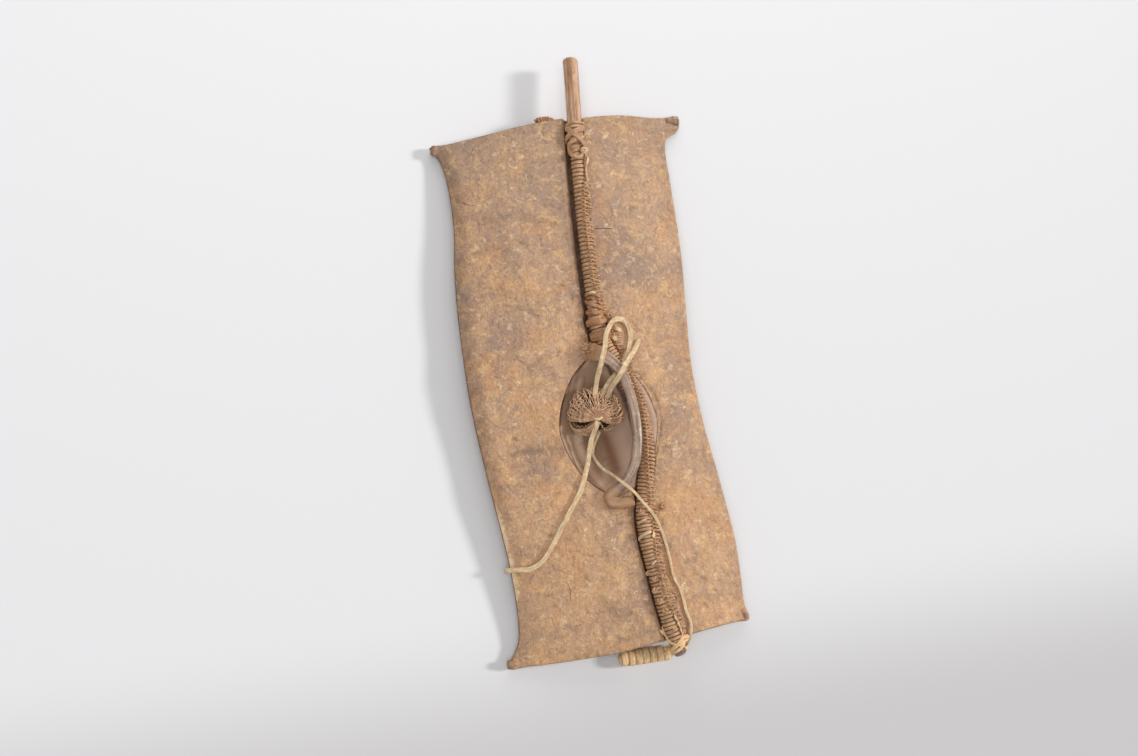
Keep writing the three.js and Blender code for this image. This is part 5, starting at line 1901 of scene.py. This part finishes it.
class SHIELD_OT_roll(Operator):
    """Winds the roll of pale thong at the shield's foot and ties it to the stave"""

    bl_idname = "shield.roll"
    bl_label = "Thong roll"

    def execute(self, context):
        level = REST_LEVEL + ROLL_RADIUS
        thick = 2.6
        line, radii = [], []
        for i in range(41):
            x = ROLL_START + 7 + (ROLL_LENGTH - 11) * i / 40
            near = min(1, (x - ROLL_START) / 14)
            line.append(placed(x, ROLL_AXIS_Y, level))
            radii.append((ROLL_RADIUS - thick / 2 - 0.4) * (0.78 + 0.22 * near) * MM)
        holder = curve_of("roll axis", [line], [radii])
        piece = wound(
            "roll_turns", holder, 6.4, 0.0112, thick * MM, 0.0009, 6, "roll", 30, 12, 0.0018
        )
        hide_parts("thong_roll")
        along = [ROLL_START + 1.5 + (ROLL_LENGTH - 3) * i / 30 for i in range(31)]
        core = [Vector((x, ROLL_AXIS_Y, level)) for x in along]

        def section(share, angle):
            near = min(1, share * ROLL_LENGTH / 12)
            radius = (ROLL_RADIUS - thick - 0.2) * (0.55 + 0.45 * near)
            return radius * math.cos(angle), radius * math.sin(angle)

        parts = [lofted(core, section, 24)]
        for width, *route in (
            (
                5.0, (50, -385, 46), (57, -393, 47), (64, -402, 48), (71, -409, 49.5), (80, -414, 49),
                (88, -417, 42),
            ),
            (
                5.5, (62, -412, 24), (66, -408, 36), (71, -404, 47), (78, -401, 55), (86, -399, 52),
                (92, -401, 40),
            ),
            (5.0, (60, -416, 24.5), (67, -413, 34), (74, -410, 45), (81, -406, 54), (89, -403, 48)),
            (6.0, (54, -420, 25.5), (64, -421, 24), (72, -419, 28), (82, -415, 33)),
        ):
            parts.append(band_parts(spline(route, 1.5), width, 2.2))
        parts += strips(
            (
                6.0, 2.2, 0.25, (-397, 8, 0.6), (-402, 40, 1.4), (-407, 80, 2.0), (-411, 125, 1.8),
                (-415, 170, 1.2), (-418, 215, 0.4),
            ),
            (
                4.8, 2.2, 0.25, (-403, 0, 0.4), (-410, 45, 1.2), (-415, 90, 1.6), (-418, 140, 1.2),
                (-420, 190, 0.4),
            ),
            (
                4.2, 2.2, 0.25, (-378, 188, 0.4), (-388, 168, 1.2), (-398, 150, 1.8), (-406, 118, 2.6),
                (-410, 80, 2.8), (-408, 40, 1.4),
            ),
        )
        assembled("roll_core", parts, "roll", "thong_roll")
        return {"FINISHED"}


class SHIELD_OT_edge_knot(Operator):
    """Winds the small knot behind the top edge"""

    bl_idname = "shield.edge_knot"
    bl_label = "Edge knot"

    def execute(self, context):
        low, high = (Vector(corner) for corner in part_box("edge_knot"))
        middle = (low + high) / 2
        line, radii = [], []
        for i in range(21):
            u = i / 20 * 2 - 1
            line.append(Vector((middle.x + u * (high.x - low.x) * 0.48, middle.y + 0.002, middle.z + 0.0015)))
            radii.append((high.z - low.z) / 2 * 1.25 * math.sqrt(1.06 - u * u) - 0.0013)
        holder = curve_of("knot axis", [line], [radii])
        piece = wound(
            "edge_knot_turns", holder, 7, 0.0044, 0.0028, 0.0016, 8, "windings", 18, 8, 0.002
        )
        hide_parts("edge_knot")
        core = [p / MM - ORIGIN for p in line]

        def section(share, angle):
            u = share * 2 - 1
            radius = max(0.6, ((high.z - low.z) / 2 * math.sqrt(1.06 - u * u)) / MM - 2.6)
            return radius * math.cos(angle), radius * math.sin(angle)

        assembled("edge_knot_core", [lofted(core, section, 16)], "lacing", "edge_knot")
        return {"FINISHED"}


class SHIELD_OT_trim(Operator):
    """Rolls the hide's corners, draws its sharp creases and sews the stitches on its front"""

    bl_idname = "shield.trim"
    bl_label = "Corners, creases and stitches"

    def execute(self, context):
        knobs = []
        for number, (x, y, way, radius, size) in enumerate((
            (TIPS[0][0] + 4, TIPS[0][1] - 4, (0.25, 1, 0.2), 5.6, 15),
            (TIPS[1][0] + 5, TIPS[1][1] + 4, (1, -0.1, 0.05), 5.6, 16),
            (TIPS[2][0] - 9, TIPS[2][1] - 6, (1, -0.25, 0.05), 6.2, 20),
            (TIPS[3][0] - 6, TIPS[3][1] + 6, (0.55, -0.9, 0.1), 5.0, 15),
        )):
            along = Vector(way).normalized()
            middle = Vector((x, y, max(surface(x, y) - 2.5, REST_LEVEL + radius + 0.2)))
            line = [middle + along * (size * (i / 12 - 0.5)) for i in range(13)]

            def section(share, angle, radius=radius, number=number):
                ledge = 1 - 0.16 * ((angle + number) % (2 * math.pi)) / (2 * math.pi)
                blunt = 0.18 * max(0, abs(2 * share - 1) * 6 - 5) ** 2
                swell = 1 + 0.08 * math.sin(share * 5 + number) - blunt
                return radius * ledge * swell * math.cos(angle), radius * ledge * swell * math.sin(angle)

            knobs.append(lofted(line, section, 22))
        points, faces, _ = joined(knobs)
        marks = [(0.12, 0.42, 0, 0)] * len(points)
        rolls = finished("corner_rolls", points, faces, "hide", marks=marks)
        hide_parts("hide_panel")
        lines = []
        lip = []
        for i in range(64):
            t = 0.10 + (math.pi - 0.22) * i / 63
            dx = -(math.sin(t) ** (2 / RECESS_POINT)) * RECESS_WIDTH / 2
            dy = math.copysign(abs(math.cos(t)) ** (2 / RECESS_POINT), math.cos(t)) * RECESS_LENGTH / 2
            lip.append((RECESS_X + dx * 0.995, RECESS_Y + dy * 0.995))
        # Dark bands of painted shade along the recess's left lip and in three sharp creases.
        for run, width in (
            (lip, 1.6),
            ([(32, 233), (40, 232.2), (48, 231), (58, 230.2), (72, 228.4)], 0.9),
            ([(-76, -296), (-73, -308), (-75, -322)], 0.45),
            ([(-150, 300), (-141, 294), (-132, 291)], 0.45),
        ):
            flat = spline([(x, y, 0) for x, y in run], 2.0)
            line = [Vector((q.x, q.y, surface(q.x, q.y) + 0.12)) for q in flat]
            last = len(line) - 1
            eased = [
                a * 0.5 + (line[max(i - 1, 0)] + line[min(i + 1, last)]) * 0.25 for i, a in enumerate(line)
            ]
            lines.append(band_parts(eased, width, 0.9, 6, taper=0.7))
        assembled("creases", lines, "crease", "hide_panel")
        route = [(-7.5, 0, -2.0), (-4.5, 0.4, 0.3), (0, 0, 1.0), (4.5, -0.4, 0.3), (7.5, 0, -2.0)]
        points, faces, _ = tube_parts(spline(route, 1.2), 1.1, 6)
        mesh = bpy.data.meshes.new("stitch form")
        mesh.from_pydata([tuple(Vector(p) - ORIGIN * MM) for p in points], [], faces)
        form = added("stitch form", mesh)
        line = []
        for i in range(90):
            y = LACING_FOOT + 8 + (LACING_TOP - LACING_FOOT - 16) * i / 89
            under = float(stave_z(y)) - float(groove_radius(y)) - THICKNESS - 0.2
            line.append(Vector((float(stave_x(y)), y, under)))
        keep = [p for p in line if p.z > REST_LEVEL + 4 and recess_reach(p.x, p.y) > 1.05]
        for name, run in (
            ("front_stitches_top", [p for p in keep if p.y > 0]),
            ("front_stitches_foot", [p for p in keep if p.y < 0]),
        ):
            piece = row_of(name, run, 11.0, -math.pi / 2, form, 0.9, 1.1, 6, "lacing")
            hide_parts("hide_panel")
        bpy.data.objects.remove(form)
        bpy.data.meshes.remove(mesh)
        return {"FINISHED"}


STEPS = (
    ("stage", "The floor, the lights and the camera"),
    ("thongs", "The loose thongs"),
    ("hide", "The hide"),
    ("stave", "The stave"),
    ("lacing", "The lacing on the stave"),
    ("windings", "The strip that binds the grip"),
    ("grip", "The grip"),
    ("pompom", "The pompom"),
    ("roll", "The roll of thong"),
    ("edge_knot", "The knot at the top edge"),
    ("trim", "The corners, creases and stitches"),
)


class SHIELD_PT_steps(Panel):
    """Lists the shield's pieces in the order that they are made in"""

    bl_idname = "SHIELD_PT_steps"
    bl_label = "Hide shield"
    bl_space_type = "VIEW_3D"
    bl_region_type = "UI"
    bl_category = "Shield"

    def draw(self, context):
        for name, text in STEPS:
            self.layout.operator(f"shield.{name}", text=text)
        for setting in SETTINGS:
            group = getattr(context.scene, setting)
            for key in type(group).__annotations__:
                self.layout.prop(group, key)


CLASSES = (
    HideSizes, LacingSizes, PompomSizes, Colours, SHIELD_OT_stage, SHIELD_OT_thongs, SHIELD_OT_hide,
    SHIELD_OT_stave, SHIELD_OT_lacing, SHIELD_OT_windings, SHIELD_OT_grip, SHIELD_OT_pompom,
    SHIELD_OT_roll, SHIELD_OT_edge_knot, SHIELD_OT_trim, SHIELD_PT_steps,
)
SETTINGS = {
    "shield_hide": HideSizes,
    "shield_lacing": LacingSizes,
    "shield_pompom": PompomSizes,
    "shield_colours": Colours,
}


def register():
    for each in CLASSES:
        bpy.utils.register_class(each)
    for name, group in SETTINGS.items():
        setattr(bpy.types.Scene, name, PointerProperty(type=group))


def unregister():
    for name in SETTINGS:
        delattr(bpy.types.Scene, name)
    for each in reversed(CLASSES):
        bpy.utils.unregister_class(each)


def main():
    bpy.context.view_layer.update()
    register()
    for name, _ in STEPS:
        getattr(bpy.ops.shield, name)()


if __name__ == "__main__":
    main()
